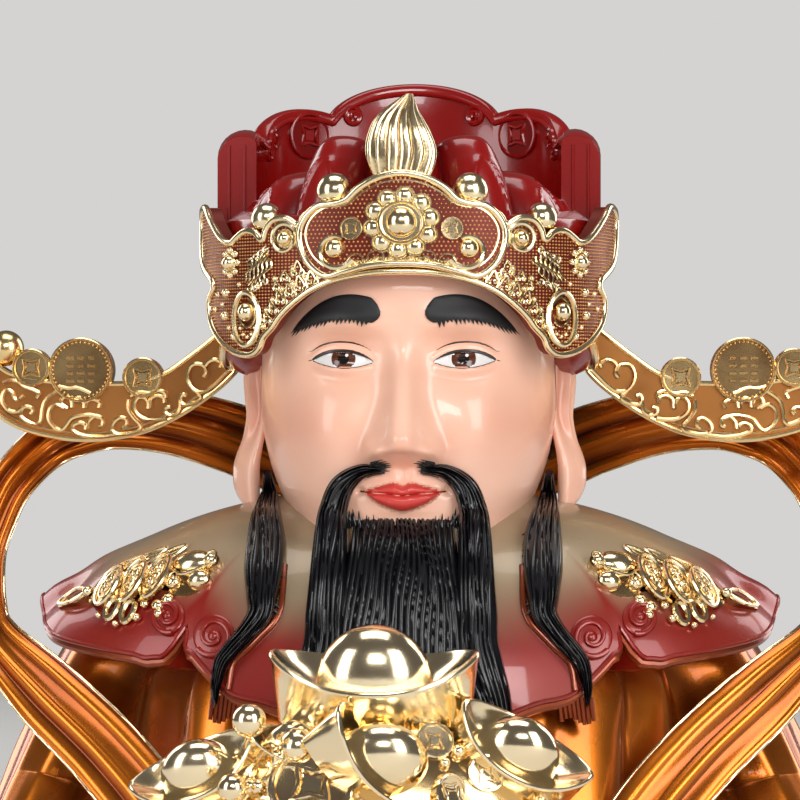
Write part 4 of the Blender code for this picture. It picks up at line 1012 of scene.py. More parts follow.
def sleeve(side):
    """Sleeve with long folds that gather toward the armpit."""
    steps = 120
    path = spline(SLEEVE_PATH, steps)
    line, radii = path[:, :3], path[:, 3:]
    along = unit(np.gradient(line, axis=0))
    right = unit(np.cross(along, (0, 1, 0)))
    front = np.cross(right, along)
    a = np.linspace(0, 2 * math.pi, 220, endpoint=False)[None, :]
    s = np.linspace(0, 1, steps)[:, None]
    fold = 0.7 * np.cos(5 * a + 0.6) + 0.3 * np.cos(3 * a + 2.0)
    crisp = 0.35 * np.abs(np.cos(6.5 * a + 0.9 * np.sin(3 * s) + 0.4)) + 0.18 * np.cos(17 * a + 2 * s)
    depth = SLEEVE_FOLD * ease(0, 0.57, s)
    r = radii + depth * fold + 2.4 * ease(0.05, 0.5, s) * (crisp - 0.2)
    ring = line[:, None] + right[:, None] * (r * np.sin(a))[..., None] + front[:, None] * (r * np.cos(a))[..., None]
    ring = ring * np.array((side, 1, 1))
    ring[..., 2] = np.maximum(ring[..., 2], 0.0)
    # Fold ridges are lighter and the valleys darker: painted highlight and painted shade.
    tone = np.clip(0.45 + 0.4 * fold + 0.4 * crisp, 0, 1)
    return grid(ring, wrap=True, ends=True, tone=tone)


# Shoulder ornaments

FISH_LENGTH = 62.0
FISH_BOW = 4.0
FISH_BACK_SHARE = 1.25
# Outline of the fish's plate: place from tail to nose and half width
FISH_OUTLINE = ((0, 0.6), (9, 2.5), (14, 1.6), (17, 5), (24, 7), (31, 6.2), (38, 7.2), (44, 5.6), (47, 4.2),
                (52, 6.6), (58, 7), (62, 4))


def fish(side):
    """Gilt fish of coins: tail leaf, three overlapping coins, scalloped fins and a curled head."""
    straight = on_shoulder(side, (119, -20), (-57, -26))

    def surface(s, w, height):
        return straight(s, w + 1.2 + FISH_BOW * np.sin(np.pi * np.asarray(s) / FISH_LENGTH), height)

    outline = [(s, w) for s, w in FISH_OUTLINE] + [(s, -FISH_BACK_SHARE * w) for s, w in reversed(FISH_OUTLINE)]
    base = spline(outline, 110, closed=True) * (0.96, 0.72)
    # The plate under the relief has a dark tone: painted shade under the gilt relief.
    parts = [slab(base, lambda u, v, h: surface(u, v, h + 1.0), 2.6, step=2.5, round_by=0.6, tone=0.1)]
    leaf = [(0.5, 0), (4, 1.6), (8, 1.9), (12, 0.6), (12, -0.8), (8, -2.4), (4, -2.0)]
    parts.append(wire(surface, spline(leaf, 40, closed=True), 0.7, 1.6, closed=True))
    parts.append(stud(surface, (13.5, 0), dome_rows(2.0, 2.2), 16, height=1.2))
    for k, s in enumerate((23.0, 32.5, 41.5)):
        tilt = np.linspace(0, 2 * math.pi, 44, endpoint=False)
        du, dv = 5.4 * np.cos(tilt), 5.6 * np.sin(tilt)
        plate = np.stack([s + du, -0.2 + dv], axis=1)
        rise = 2.6 + 0.4 * k

        def leaned(u, v, h, s=s, rise=rise):
            return surface(u, v, h + rise + 0.30 * (u - s))

        # The coins' faces are darker than their gilt rims: painted shade.
        parts.append(slab(plate, leaned, 2.4, step=2.0, tone=0.45))
        for scale, radius in ((0.97, 0.75), (0.68, 0.35)):
            ring = np.stack([s + scale * du, -0.2 + scale * dv], axis=1)
            parts.append(wire(leaned, ring, radius, 0.2, closed=True))
        for j in range(4):
            a = math.pi / 2 * j + k
            middle = (s + 1.9 * math.cos(a), -0.2 + 1.9 * math.sin(a))
            parts.append(wire(leaned, coil(middle, 1.3, 0.4, 60 * j, 1.2, 14), 0.36, 0.2, sides=5))
    # Rings below the coins, fan below the head, leaves of the back fin
    for s, w, r in ((27.5, 6.0, 2.2), (34.5, 7.0, 2.2)):
        parts.append(wire(surface, coil((s, w), r, r, 0, 1, 25)[:-1], 1.1, 1.3, closed=True))
    for s, w, r in ((45.0, 6.6, 2.2), (48.0, 5.6, 2.2), (46.5, 8.4, 1.8), (23.0, 7.4, 1.1), (31.0, 9.4, 1.2),
                    (38.5, 8.6, 1.5), (40.0, 6.0, 1.6)):
        parts.append(stud(surface, (s, w), dome_rows(r, 1.8, 6), 16, height=0.8))
    for root, tip, wide in (((37.0, -5.4), (46.5, -10.2), 1.9), ((29.5, -5.8), (39.0, -10.8), 1.9),
                            ((18.0, -4.6), (31.5, -9.4), 1.3)):
        root, tip = np.array(root), np.array(tip)
        over = np.array((root[1] - tip[1], tip[0] - root[0])) / np.linalg.norm(tip - root)
        blade = [root, root + 0.45 * (tip - root) + wide * over, tip, root + 0.45 * (tip - root) - wide * over]
        parts.append(wire(surface, spline(blade, 40, closed=True), 0.65, 1.3, closed=True))
        parts.append(wire(surface, [root, 0.5 * (root + tip), tip], 0.4, 1.2))
    for s, w, ru, rv, h in ((52.6, -3.2, 7.4, 4.8, 3.6), (57.4, 2.0, 4.4, 3.6, 3.2), (48.2, 1.8, 2.7, 2.6, 2.6),
                            (59.5, -2.6, 3.2, 3.1, 3.9)):
        centre, out = placed(surface, (s, w), 1.0)
        along = unit(placed(surface, (s + 1, w), 1.0)[0] - centre)[0]
        over = np.cross(out[0], along)
        a = np.linspace(0, 2 * math.pi, 28, endpoint=False)
        rings = np.array([centre[0] + along * (k * ru * np.cos(a))[:, None] + over * (k * rv * np.sin(a))[:, None]
                          + out[0] * g for k, g in [(1.0, -2.0)] + dome_rows(1.0, h, 7)])
        parts.append(grid(rings, wrap=True, ends=True))
    parts.append(wire(surface, coil((59.5, -2.6), 2.4, 0.4, 0, 1.6, 30), 0.42, 4.1, sides=6))
    parts.append(wire(surface, coil((48.2, 1.8), 2.3, 0.4, 90, 1.6, 30), 0.42, 3.0, sides=6))
    parts.append(wire(surface, spline([(47, -1.0), (51, 0.8), (55, 0.4), (58, -0.4)], 20), 0.5, 3.2))
    return parts


# Hat

def band_foot(turn):
    """Lower edge of the hat: low behind the ears and high over the forehead."""
    return BAND_LOW_Z + BAND_BROW_RISE * ease(100, 30, np.abs(turn))


def hat_band():
    turn = np.linspace(-180, 180, 180, endpoint=False)
    low = band_foot(turn)
    a = np.radians(turn)
    reach = np.where(np.abs(turn) < 90, BAND_FRONT, BAND_BACK)
    rows = []
    for share, scale in ((0.0, 0.88), (0.05, 0.97), (0.1, 1.0), (0.5, 1.0), (0.95, 1.0), (1.02, 0.985), (1.1, 0.9)):
        rows.append(np.stack([BAND_HALF_WIDTH * scale * np.sin(a), -reach * scale * np.cos(a),
                              low + share * (BAND_TOP_Z - low)], axis=-1))
    band = grid(np.array(rows), wrap=True, ends=True)
    trims = []
    for share, radius in ((0.07, 1.3), (0.2, 0.6)):
        z = low + share * (BAND_TOP_Z - low)
        ring = np.stack([(BAND_HALF_WIDTH + 0.2) * np.sin(a), -(reach + 0.2) * np.cos(a), z], axis=-1)
        trims.append(tube(ring, radius, 8, closed=True, facing=unit(ring * (1, 1, 0))))
    return band, trims


def cap():
    """Cap of upright bulging petals that step down to the sides, each with a raised arch inside it."""
    turn, place = np.meshgrid(np.linspace(-180, 180, 420, endpoint=False), np.linspace(0, 4.6, 84))
    own = np.round(turn * CAP_RIBS / 360)
    across = 2 * (turn * CAP_RIBS / 360 - own)
    swell = np.abs(np.cos(across * math.pi / 2)) ** 0.55
    out, high, inward = (follow(CAP_ROWS, place, k) for k in (1, 2, 3))
    tall, beside = (follow(CAP_PETALS, np.abs(k) * 360 / CAP_RIBS) for k in (own, own + np.sign(across)))
    joint = 0.84 * np.minimum(tall, beside)
    petal = joint + (tall - joint) * np.sqrt(np.maximum(1 - np.abs(across) ** 2.4, 0))
    arch = np.abs(across) - 0.52 * np.sqrt(np.clip(1 - (high / 0.80) ** 2, 0, 1))
    lift = 0.9 * np.exp(-(arch / 0.07) ** 2) * ease(0.82, 0.76, high) * ease(-0.1, 0.1, place)
    crease = swell + (1 - swell) * ease(2.6, 4.0, place)
    r = out * np.where(np.abs(turn) < 115, 0.86 + 0.17 * crease, 0.92 + 0.05 * crease)
    x = (CAP_HALF_WIDTH * r + lift) * np.sin(np.radians(turn))
    y = CAP_AXIS_Y - (CAP_HALF_DEPTH * r + lift) * np.cos(np.radians(turn))
    z = CAP_FOOT_Z + high * ((1 - inward) * petal + inward * CAP_MIDDLE)
    # The valleys between the petals are darker: painted shade.
    return grid(np.stack([x, y, z], axis=-1), wrap=True, ends=True, tone=0.25 + 0.75 * crease)


def cloud_height(turn):
    """Top edge of the cloud plate: a row of round lobes."""
    tops = []
    for middle, half, top, drop in CLOUD_LOBES:
        across = (np.abs(turn) - middle) / half
        bowl = np.sqrt(np.maximum(0.0, 1 - np.minimum(across**2, 1)))
        tops.append(top - drop * (1 - bowl) - 30 * np.maximum(0, np.abs(across) - 1))
    return np.max(tops, axis=0)


def cloud_thick(turn):
    return 5.5 + 8.0 * ease(45, 90, np.abs(turn))


def cloud_front(turn, z, height):
    """Front face of the cloud plate, which looks toward the cap."""
    inset = cloud_thick(turn) + height
    a = np.radians(turn)
    return np.stack([(CLOUD_HALF_WIDTH - inset) * np.sin(a), (CLOUD_HALF_DEPTH - inset) * np.cos(a), z + 0 * turn],
                    axis=-1)


def cloud_plate():
    """Upright plate with a cloud outline, bent round the back of the cap, with a curled line in each lobe."""
    turn = np.linspace(-CLOUD_END, CLOUD_END, 321)
    a = np.radians(turn)
    top = cloud_height(turn)
    thick = cloud_thick(turn)
    radius = 2.2 + 6.3 * ease(60, 85, np.abs(turn))
    shape = [(0 * turn, top - CLOUD_FOOT_Z)]
    shape += [(radius * (1 - math.cos(b)), radius * (1 - math.sin(b))) for b in np.radians(np.arange(0, 91, 15))]
    shape += [(thick * share, drop) for share, drop in ((0.8, 0.2), (0.94, 0.9), (1, 2.2), (1, 12), (1, 24))]
    shape.append((thick, top - CLOUD_FOOT_Z))
    profile = [np.stack([(CLOUD_HALF_WIDTH - inset) * np.sin(a), (CLOUD_HALF_DEPTH - inset) * np.cos(a), top - drop],
                        axis=-1) for inset, drop in shape]
    parts = [grid(np.stack(profile, axis=1), wrap=True, ends=True)]

    for middle, half, _, _ in CLOUD_LOBES:
        last = middle == CLOUD_LOBES[-1][0]
        line = np.linspace(middle - 0.7 * half, CLOUD_LINE_END if last else middle + 0.7 * half, 60)
        z = cloud_height(line) - 3.8

        def curl(end, way, line=line, z=z):
            turned = coil((0, -CLOUD_CURL), CLOUD_CURL, 0.8, 0, way * 1.4, 26)
            return np.stack([line[end] + turned[:, 0] / CLOUD_MM, z[end] + turned[:, 1]], axis=1)

        runs = [curl(0, -1)[::-1], np.stack([line, z], axis=1)] + ([] if last else [curl(-1, 1)])
        path = np.concatenate(runs)
        for side in ((-1, 1) if middle else (1,)):
            points = cloud_front(side * path[:, 0], path[:, 1], 0.2)
            parts.append(tube(points, 1.0, 8, facing=unit(-points * (1, 1, 0))))

    z = np.linspace(CLOUD_FOOT_Z, float(cloud_height(CLOUD_END)) - 3, 40)
    for side in (-1, 1):
        end = math.radians(CLOUD_END) * side
        for share in (0.3, 0.7):
            inset = cloud_thick(CLOUD_END) * share
            x = (CLOUD_HALF_WIDTH - inset) * math.sin(end)
            y = (CLOUD_HALF_DEPTH - inset) * math.cos(end) - 0.1
            path = np.stack([x + 0 * z, y + 0 * z, z], axis=-1)
            parts.append(tube(path, 0.55, 6, facing=(math.cos(end), -math.sin(end), 0)))
    return parts


def cash_coin(surface, uv, radius, rise=1.4):
    """Round coin with a raised rim and the square frame of its hole."""
    profile = [(radius, -1.5), (radius, rise * 0.8), (radius * 0.95, rise), (radius * 0.86, rise),
               (radius * 0.82, rise * 0.45), (radius * 0.3, rise * 0.4)]
    # The sunk field inside the rim is darker: painted shade.
    parts = [stud(surface, uv, profile, 32, tones=(1, 1, 1, 1, 0.6, 0.7))]
    half = radius * 0.42
    inward = 0.12 * radius
    corner = np.array([(-half, -half), (0, -half + inward), (half, -half), (half - inward, 0), (half, half),
                       (0, half - inward), (-half, half), (-half + inward, 0)])
    line = np.concatenate([np.linspace(corner[k], corner[(k + 1) % 8], 4, endpoint=False) for k in range(8)])
    parts.append(wire(surface, uv + line, radius * 0.075, rise * 0.62, closed=True))
    parts.append(slab(uv + 0.5 * corner[::2], lambda u, v, h: surface(u, v, h + rise * 0.75), 1.0))
    return parts


def cloud_coins():
    """Coins in relief on the front of the cloud plate's second lobes."""
    parts = []
    turn, z, radius = CLOUD_COIN
    for side in (-1, 1):
        surface = lambda u, v, h, s=side: cloud_front(s * (turn + u / 1.05), v, h)
        parts += cash_coin(surface, (0, z), radius, rise=1.3)
    return parts


def crown_skin(u, z, height):
    """Surface of the crown plate: u is the length along it from the middle."""
    a = np.radians(np.asarray(u) / CROWN_MM)
    return np.stack([(CROWN_HALF_WIDTH + height) * np.sin(a), -(CROWN_HALF_DEPTH + height) * np.cos(a),
                     z + 0 * a], axis=-1)


def crown_middle_skin(u, z, height):
    return crown_skin(u, z, np.asarray(height) + 1.8)


def mirrored(half):
    """Close a right-hand outline, listed from the top middle to the bottom middle, with its mirror image."""
    line = [(u * CROWN_MM, v) for u, v in half]
    return line + [(-u, v) for u, v in reversed(line) if abs(u) > 1e-6]


CROWN_SIDE = (
    (0, 244), (24, 238), (28.5, 233.5), (32.5, 235.6), (37, 235.3), (39.7, 232.2), (41, 228.5), (44, 231.3),
    (48, 232), (52, 230), (55, 228.3), (60, 229.8), (68, 236), (76, 241.5), (87, 238.5), (86, 231), (79, 222),
    (66, 215), (70, 209), (68, 201.5), (60.5, 195), (52.5, 191.2), (46, 190.3), (42.5, 192.3), (40.8, 196),
    (37.5, 199.5), (35, 203), (30.5, 207.5), (24.5, 212), (17, 215.2), (8, 217.2), (0, 217.6),
)
CROWN_MIDDLE = (
    (0, 250), (6, 248.6), (11, 245.2), (14.5, 241.2), (18, 240), (22, 239.4), (25.6, 236), (27.5, 231),
    (27, 225.5), (24.5, 220), (20, 216.2), (15, 217.5), (8, 219.6), (0, 220.2),
)


def granules(outline, surface, pitch, size, keep_out, stagger=True, stretch=1.0):
    """Rows of fine grains over a ground; each keep-out is a place and a radius left free."""
    low, high = outline.min(axis=0), outline.max(axis=0)
    rows = np.arange(low[1], high[1], pitch)
    spots = []
    for k, v in enumerate(rows):
        u = np.arange(low[0] + (0.5 * pitch * (k % 2) if stagger else 0), high[0], pitch * stretch)
        spots.append(np.stack([u, np.full_like(u, v)], axis=1))
    spots = np.concatenate(spots)
    spots = spots[inside(spots, outline)]
    spots = spots[distance(spots, outline) > 1.3]
    for cu, cv, r in keep_out:
        spots = spots[np.hypot(spots[:, 0] - cu, spots[:, 1] - cv) > r]
    centre = surface(spots[:, 0], spots[:, 1], np.zeros(len(spots)))
    out = unit(surface(spots[:, 0], spots[:, 1], np.ones(len(spots))) - centre)
    right = unit(np.cross(np.array((0, 0, 1.0)), out))
    sides = 6
    angle = 2 * math.pi * np.arange(sides) / sides
    rings = []
    for radius, height in ((1.0, -0.2), (0.72, 0.55)):
        rings.append(centre[:, None] + size * (radius * (stretch * np.sin(angle)[None, :, None] * right[:, None]
                                                         + np.cos(angle)[None, :, None] * np.array((0, 0, 1.0)))
                                               + height * out[:, None]))
    top = centre[:, None] + size * 0.85 * out[:, None]
    verts = np.concatenate([rings[0], rings[1], top], axis=1)
    count = 2 * sides + 1
    template = [[j, (j + 1) % sides, sides + (j + 1) % sides, sides + j] for j in range(sides)]
    template += [[sides + j, sides + (j + 1) % sides, 2 * sides] for j in range(sides)]
    faces = [[i + k * count for i in face] for k in range(len(spots)) for face in template]
    # Each grain runs from dark at its foot to gold at its top: gilt grains, with painted shade toward the foot where
    # they meet the ground.
    tone = np.tile(np.concatenate([np.zeros(sides), np.full(sides, 0.7), [1.0]]), len(spots))
    return Shape(verts, faces, tone)


def boss(surface, uv, radius, height, base=0.0, ring=True, stretch=1.0):
    """Domed boss in a small ring."""
    parts = [stud(surface, uv, [(radius, base - 1)] + dome_rows(radius * 0.86, height, 7, base), 24,
                  stretch=stretch)]
    if ring:
        around = coil(uv, radius, radius, 0, 1, 33, stretch)[:-1]
        parts.append(wire(surface, around, radius * 0.14, base + 0.25, closed=True))
    return parts


def flamelet(surface, uv, size, lean):
    """Small leaf of filigree: two curls under a point, with a bead between."""
    u0, v0 = uv
    outline = [(-0.9, -0.6), (-1.0, 0.1), (-0.6, 0.5), (-0.45, 0.9), (0.0, 1.5), (0.45, 0.9), (0.6, 0.5),
               (1.0, 0.1), (0.9, -0.6)]
    line = spline([(u0 + size * (x + lean * y), v0 + size * y) for x, y in outline], 32)
    parts = [wire(surface, line, 0.42, 0.5, sides=6)]
    for way in (-1, 1):
        parts.append(wire(surface, coil((u0 + way * 0.45 * size, v0 - 0.1 * size), 0.42 * size, 0.1 * size, 0,
                                        way * 1.3, 18), 0.34, 0.5, sides=5))
    parts.append(stud(surface, (u0 + lean * 0.7 * size, v0 + 0.7 * size), dome_rows(0.22 * size, 0.9, 4, 0.2), 10))
    return parts


# Crown's relief: place along the plate in degrees (CROWN_MM millimetres each) and height
ROSETTE_Z = 233.6
PANEL_COIN = (13, 231.8)
PANEL_CORNER = (17.4, 225.2)
FLANK_FLOWER = (55, 221.5)
FLANK_FISH = (42.4, 218.6)
FLANK_OVAL = (47.0, 202.3)
# Beads: place, height and radius
FLANK_BEADS = ((57, 211.4, 1.7), (57.6, 203.6, 1.7), (52.6, 196.4, 1.5), (59.5, 207.5, 0.9), (55.6, 199.5, 0.9),
               (62.5, 211, 1.0), (50.5, 214.0, 0.9), (64.5, 206, 0.9))
# Filigree flames along the lower rim: place, height, size and lean
FLANK_FLAMES = ((27.8, 212.6, 2.5, 0.25), (31.3, 210.6, 2.2, 0.3), (34.4, 208.2, 2.3, 0.35), (36.9, 205.0, 2.0, 0.4),
                (38.9, 201.6, 1.9, 0.45), (24.4, 214.6, 2.2, 0.2), (28.8, 217.6, 2.5, 0.0), (33.0, 215.6, 1.8, 0.1),
                (35.6, 212.4, 1.7, 0.2))
FLANK_DOTS = ((22.2, 216.6), (26.3, 216.2), (30.6, 213.8), (34.0, 212.0), (37.2, 208.6), (39.4, 205.2), (40.7, 199.6),
              (30.4, 218.8), (36.4, 215.6))


def crown_panel():
    """Gilt relief of the middle panel: rosette, small coins, corner spirals and bosses over the lower rim."""
    surface = crown_middle_skin
    rosette = (0, ROSETTE_Z)
    gold = [stud(surface, rosette, [(7.4, -1), (7.4, 2.2), (6.9, 2.8), (6.3, 2.6), (6.1, 1.9)], 40),
            wire(surface, coil(rosette, 6.7, 6.7, 0, 1, 49)[:-1], 0.5, 2.8, closed=True),
            stud(surface, rosette, [(5.4, 1.5)] + dome_rows(5.2, 4.6, 10, 2.0), 36)]
    for k in range(10):
        a = 2 * math.pi * (k + 0.2) / 10
        petal = (8.9 * math.sin(a), ROSETTE_Z + 8.9 * math.cos(a))
        gold += [stud(surface, petal, [(3.2, -1)] + dome_rows(2.9, 1.8, 7, 0.3), 18),
                 wire(surface, coil(petal, 2.95, 2.95, 0, 1, 25)[:-1], 0.42, 0.6, closed=True)]
    for side in (-1, 1):
        gold += cash_coin(surface, (side * PANEL_COIN[0] * CROWN_MM, PANEL_COIN[1]), 3.9, rise=1.2)
        u, v = side * PANEL_CORNER[0] * CROWN_MM, PANEL_CORNER[1]
        gold += boss(surface, (u, v), 3.9, 3.2, 0.4, ring=False)
        spiral = coil((u - side * 0.4, v - 0.6), 4.3, 6.2, -30 * side, side * 0.75, 50)
        gold.append(wire(surface, spiral, np.linspace(0.8, 1.3, 50), 0.5, sides=8))
    for u, v in ((3.1, 221.3), (7.8, 221.0), (14.2, 219.9)):
        arch = spline([(u - 2.9, v - 1.0), (u - 2.2, v + 2.3), (u, v + 3.4), (u + 2.2, v + 2.3),
                       (u + 2.9, v - 1.0)], 18)
        for way in (-1, 1):
            gold += [stud(surface, (way * u, v), dome_rows(1.0, 1.4, 5, 0.2), 14),
                     wire(surface, coil((way * u, v), 2.1, 0.9, 90 * way, way * 1.4, 24), 0.42, 0.45),
                     wire(surface, arch * (way, 1), 0.4, 0.4)]
    return gold


def crown_flank(side):
    """Gilt relief of a side panel: curl, flower, filigree fish, oval lobe, beads and flames."""
    surface = crown_skin
    gold = []

    def at(t, v):
        return side * t * CROWN_MM, v

    gold += boss(surface, at(33.0, 228.9), 3.0, 2.8, 0.3)
    spiral = coil(at(33.2, 228.9), 5.6, 3.6, -120 * side, side * 1.15, 44)
    gold.append(wire(surface, spiral, np.linspace(1.2, 0.6, 44), 0.4, sides=8))
    gold += boss(surface, at(*FLANK_FLOWER), 3.1, 3.0, 0.4)
    u0, v0 = at(*FLANK_FLOWER)
    for k in range(8):
        a = 2 * math.pi * k / 8
        gold.append(stud(surface, (u0 + 4.2 * math.sin(a), v0 + 4.2 * math.cos(a)), dome_rows(1.25, 1.4, 4, 0.1), 10))
    # Fish in filigree: slanting ripples with curls above and below
    u0, v0 = at(*FLANK_FISH)
    t = np.linspace(-1, 1, 20)
    for k in range(7):
        tall = 5.2 - 0.35 * abs(k - 3) ** 1.5
        line = np.stack([u0 + side * (k - 3) * 1.45 - side * 2.4 * t + 0.7 * np.sin(5 * t + k), v0 + tall * t], axis=1)
        gold.append(wire(surface, line, np.linspace(0.3, 0.62, 20), 0.7))
    for k in range(4):
        for shift, z, radius, way in ((-3.2 + 2.1 * k, 225.2 - 1.1 * k, 1.5, 1),
                                      (3.4 - 2.1 * k, 212.2 + 0.8 * k, 1.4, -1)):
            curl = coil(at(FLANK_FISH[0] + shift, z), radius, 0.3, 90 * k, way * side * 1.2, 16)
            gold.append(wire(surface, curl, 0.4, 0.6, sides=5))
    # Oval lobe with its dome, and loose beads round it
    u0, v0 = at(*FLANK_OVAL)
    dome_u = u0 - side * 0.3
    gold.append(wire(surface, coil((u0, v0), 6.3, 6.3, 0, 1, 61, 1.42)[:-1], 1.0, 0.9, sides=8, closed=True))
    gold += boss(surface, (dome_u, v0 + 2.3), 3.4, 3.6, 0.5, ring=False, stretch=1.15)
    gold.append(wire(surface, coil((dome_u, v0 + 2.1), 4.4, 3.9, -60, side * 0.8, 30, 1.15), 0.5, 0.6))
    for k in range(5):
        a = math.radians(120 + 30 * k)
        gold.append(stud(surface, (u0 + 4.4 * math.sin(a), v0 + 6.0 * math.cos(a)), dome_rows(0.9, 1.0, 4, 0.1), 8))
    for t, v, r in FLANK_BEADS:
        gold.append(stud(surface, at(t, v), dome_rows(r, r * 1.2, 5, 0.1), 14))
    for t, v, size, lean in FLANK_FLAMES:
        gold += flamelet(surface, at(t, v), size, lean * side)
    for t, v in FLANK_DOTS:
        gold += boss(surface, at(t, v), 1.1, 1.2, 0.2)
    return gold


def crown():
    """Crown plate over the forehead: its two grounds, its gilt relief and the grains of the grounds."""
    side_line = spline(mirrored(CROWN_SIDE), 420, closed=True)
    middle_line = spline(mirrored(CROWN_MIDDLE), 240, closed=True)
    ground = [slab(side_line, crown_skin, CROWN_THICK, step=3.2), slab(middle_line, crown_middle_skin, 4.0, step=3.0)]
    inner = (middle_line - (0, PANEL_Z)) * (0.93, 0.86) + (0, PANEL_Z)
    gold = [wire(crown_skin, side_line, 1.25, 0.1, sides=10, closed=True),
            wire(crown_middle_skin, middle_line, 1.3, 0.1, sides=10, closed=True),
            wire(crown_middle_skin, inner, 0.45, 0.1, closed=True)]
    gold += crown_panel() + crown_flank(-1) + crown_flank(1)
    keep_side = [(side * t * CROWN_MM, v, r) for side in (-1, 1) for t, v, r in
                 ((*FLANK_FLOWER, 5.4), (33, 229, 3.3), (47, 204, 5.0), (*FLANK_FISH, 4.5))]
    keep_side += [(u, 230.0, 7.0) for u in np.arange(-30, 31, 5.0)]
    keep_middle = [(0, ROSETTE_Z, 11.6)] + [(side * t * CROWN_MM, v, r) for side in (-1, 1) for t, v, r in
                                            ((*PANEL_COIN, 4.4), (*PANEL_CORNER, 3.8))]
    dots = [granules(side_line, crown_skin, 1.12, 0.42, keep_side, stagger=False, stretch=1.25),
            granules(middle_line, crown_middle_skin, 1.40, 0.45, keep_middle)]
    return ground, gold, dots


# Flame: height, half width, half depth, shift to the side, twist
FLAME_ROWS = (
    (246, 7.5, 5, 0, 0), (251, 9.7, 5.6, 0, 0), (257, 11.1, 6.2, -0.3, 6), (264.4, 9.5, 5.8, -0.9, 14),
    (268, 7.8, 4.8, -1.0, 20), (271, 5.7, 3.8, -0.5, 26), (274, 3.4, 2.4, 0.9, 32), (276.6, 1.1, 1.1, 2.4, 38),
)
FLAME_Y = -62.0
# Balls over the crown: place and radius, on one side
PEARLS = ((22.5, -58.5, 244.6, 6.1), (46.4, -44.5, 236.2, 5.3))


def flame():
    """Gilt flame with twisting flutes over the middle of the crown."""
    z = np.linspace(FLAME_ROWS[0][0], FLAME_ROWS[-1][0], 90)[:, None]
    a = np.linspace(0, 2 * math.pi, 140, endpoint=False)[None, :]
    wide, deep, shift, twist = (follow(FLAME_ROWS, z, k) for k in range(1, 5))
    crest = np.abs(np.cos(FLAME_FLUTES * a)) ** 0.8
    flute = 0.90 + 0.17 * crest
    turn = a + np.radians(twist) + 0.10 * np.sin((z - 246) / 5.5)
    ring = np.stack([shift + wide * flute * np.sin(turn), FLAME_Y - deep * flute * np.cos(turn), z + 0 * turn],
                    axis=-1)
    # The valleys of the flutes and the flame's foot are darker: painted shade.
    return grid(ring, wrap=True, ends=True, tone=0.3 + 0.7 * crest * ease(246, 252, z))


def pearls():
    return [ball((side * x, y, z), radius, 36, 24) for side in (-1, 1) for x, y, z, radius in PEARLS]


# Scarf

def scarf():
    """Flying ribbon with long ridges, laid in front of the sleeves: its crests are lighter as a painted highlight and
    the grooves between them darker as painted shade.
    """
    steps = 360
    half = spline(SCARF_PATH, steps // 2)
    stations = np.vstack([half[:0:-1] * np.array((-1, 1, 1, 1)), half])
    centre, width = stations[:, :3], stations[:, 3]
    along = unit(np.gradient(centre, axis=0))
    across = unit(np.cross((0, 1, 0), along))
    steps = len(stations)
    s = np.linspace(0, 1, steps)[:, None]
    w = np.concatenate([np.linspace(-1, 1, 61), np.linspace(0.9, -0.9, 15)])
    front = np.arange(len(w)) < 61
    crest = (0.6 * np.cos(math.pi * (2.7 * w[None, :] + 0.35 * np.sin(9 * s)))
             + 0.5 * np.abs(np.cos(math.pi * (2.3 * w[None, :] + 0.25 * np.sin(7 * s) + 0.3))) - 0.1)
    body = np.sqrt(np.maximum(1 - np.abs(w) ** 4, 0))
    depth = np.where(front, -body[None, :] * (0.45 + 0.65 * crest), body[None, :] * 0.8)
    points = (centre[:, None] + across[:, None] * (width[:, None] * w[None, :])[..., None]
              + np.array((0, SCARF_THICK / 2, 0)) * depth[..., None])
    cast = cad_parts["figure"].data
    figure_tree = BVHTree.FromPolygons([v.co for v in cast.vertices], [list(p.vertices) for p in cast.polygons])
    push = np.zeros(steps)
    for k in range(steps):
        if centre[k, 1] >= 0 or abs(centre[k, 0]) < 55:
            continue
        for point in points[k, ::6]:
            hit = figure_tree.ray_cast(Vector((point[0], -200, point[2])) * MM, Vector((0, 1, 0)))[0]
            if hit is not None and abs(point[0]) > 55:
                push[k] = max(push[k], point[1] - (hit.y / MM - 1.15))
    soft = np.convolve(np.pad(push, 9, mode="edge"), np.hanning(19) / np.hanning(19).sum(), mode="valid")
    points[..., 1] -= np.maximum(soft, 0)[:, None]
    points = points[points[..., 2].max(axis=1) > 0]
    points[..., 2] = np.maximum(points[..., 2], 0.0)
    # Lighter crests and darker grooves are painted highlight and painted shade; the back is darker.
    tone = np.where(front, np.clip(0.5 + 0.6 * crest, 0, 1), 0.25)
    tone = tone[:len(points)]
    edges = [tube(points[3:-3, k], 0.55, 6, facing=(0, -1, 0)) for k in (1, 59)]
    return grid(points, wrap=True, ends=True, tone=tone), edges


# Hat wings

def wing_skin(side):
    def surface(x, z, height):
        inward = ease(100, 60, x) * 1.5
        return np.stack([side * x, WING_Y - WING_THICK / 2 - height - inward, z + 0 * x], axis=-1)
    return surface


def wing_outline():
    tip = [(WING_TIP[0] + WING_TIP_RADIUS * math.cos(math.radians(a)),
            WING_TIP[1] + WING_TIP_RADIUS * math.sin(math.radians(a))) for a in range(-60, 181, 24)]
    return np.vstack([spline(WING_LOWER, 60), tip, spline(WING_UPPER, 60)])


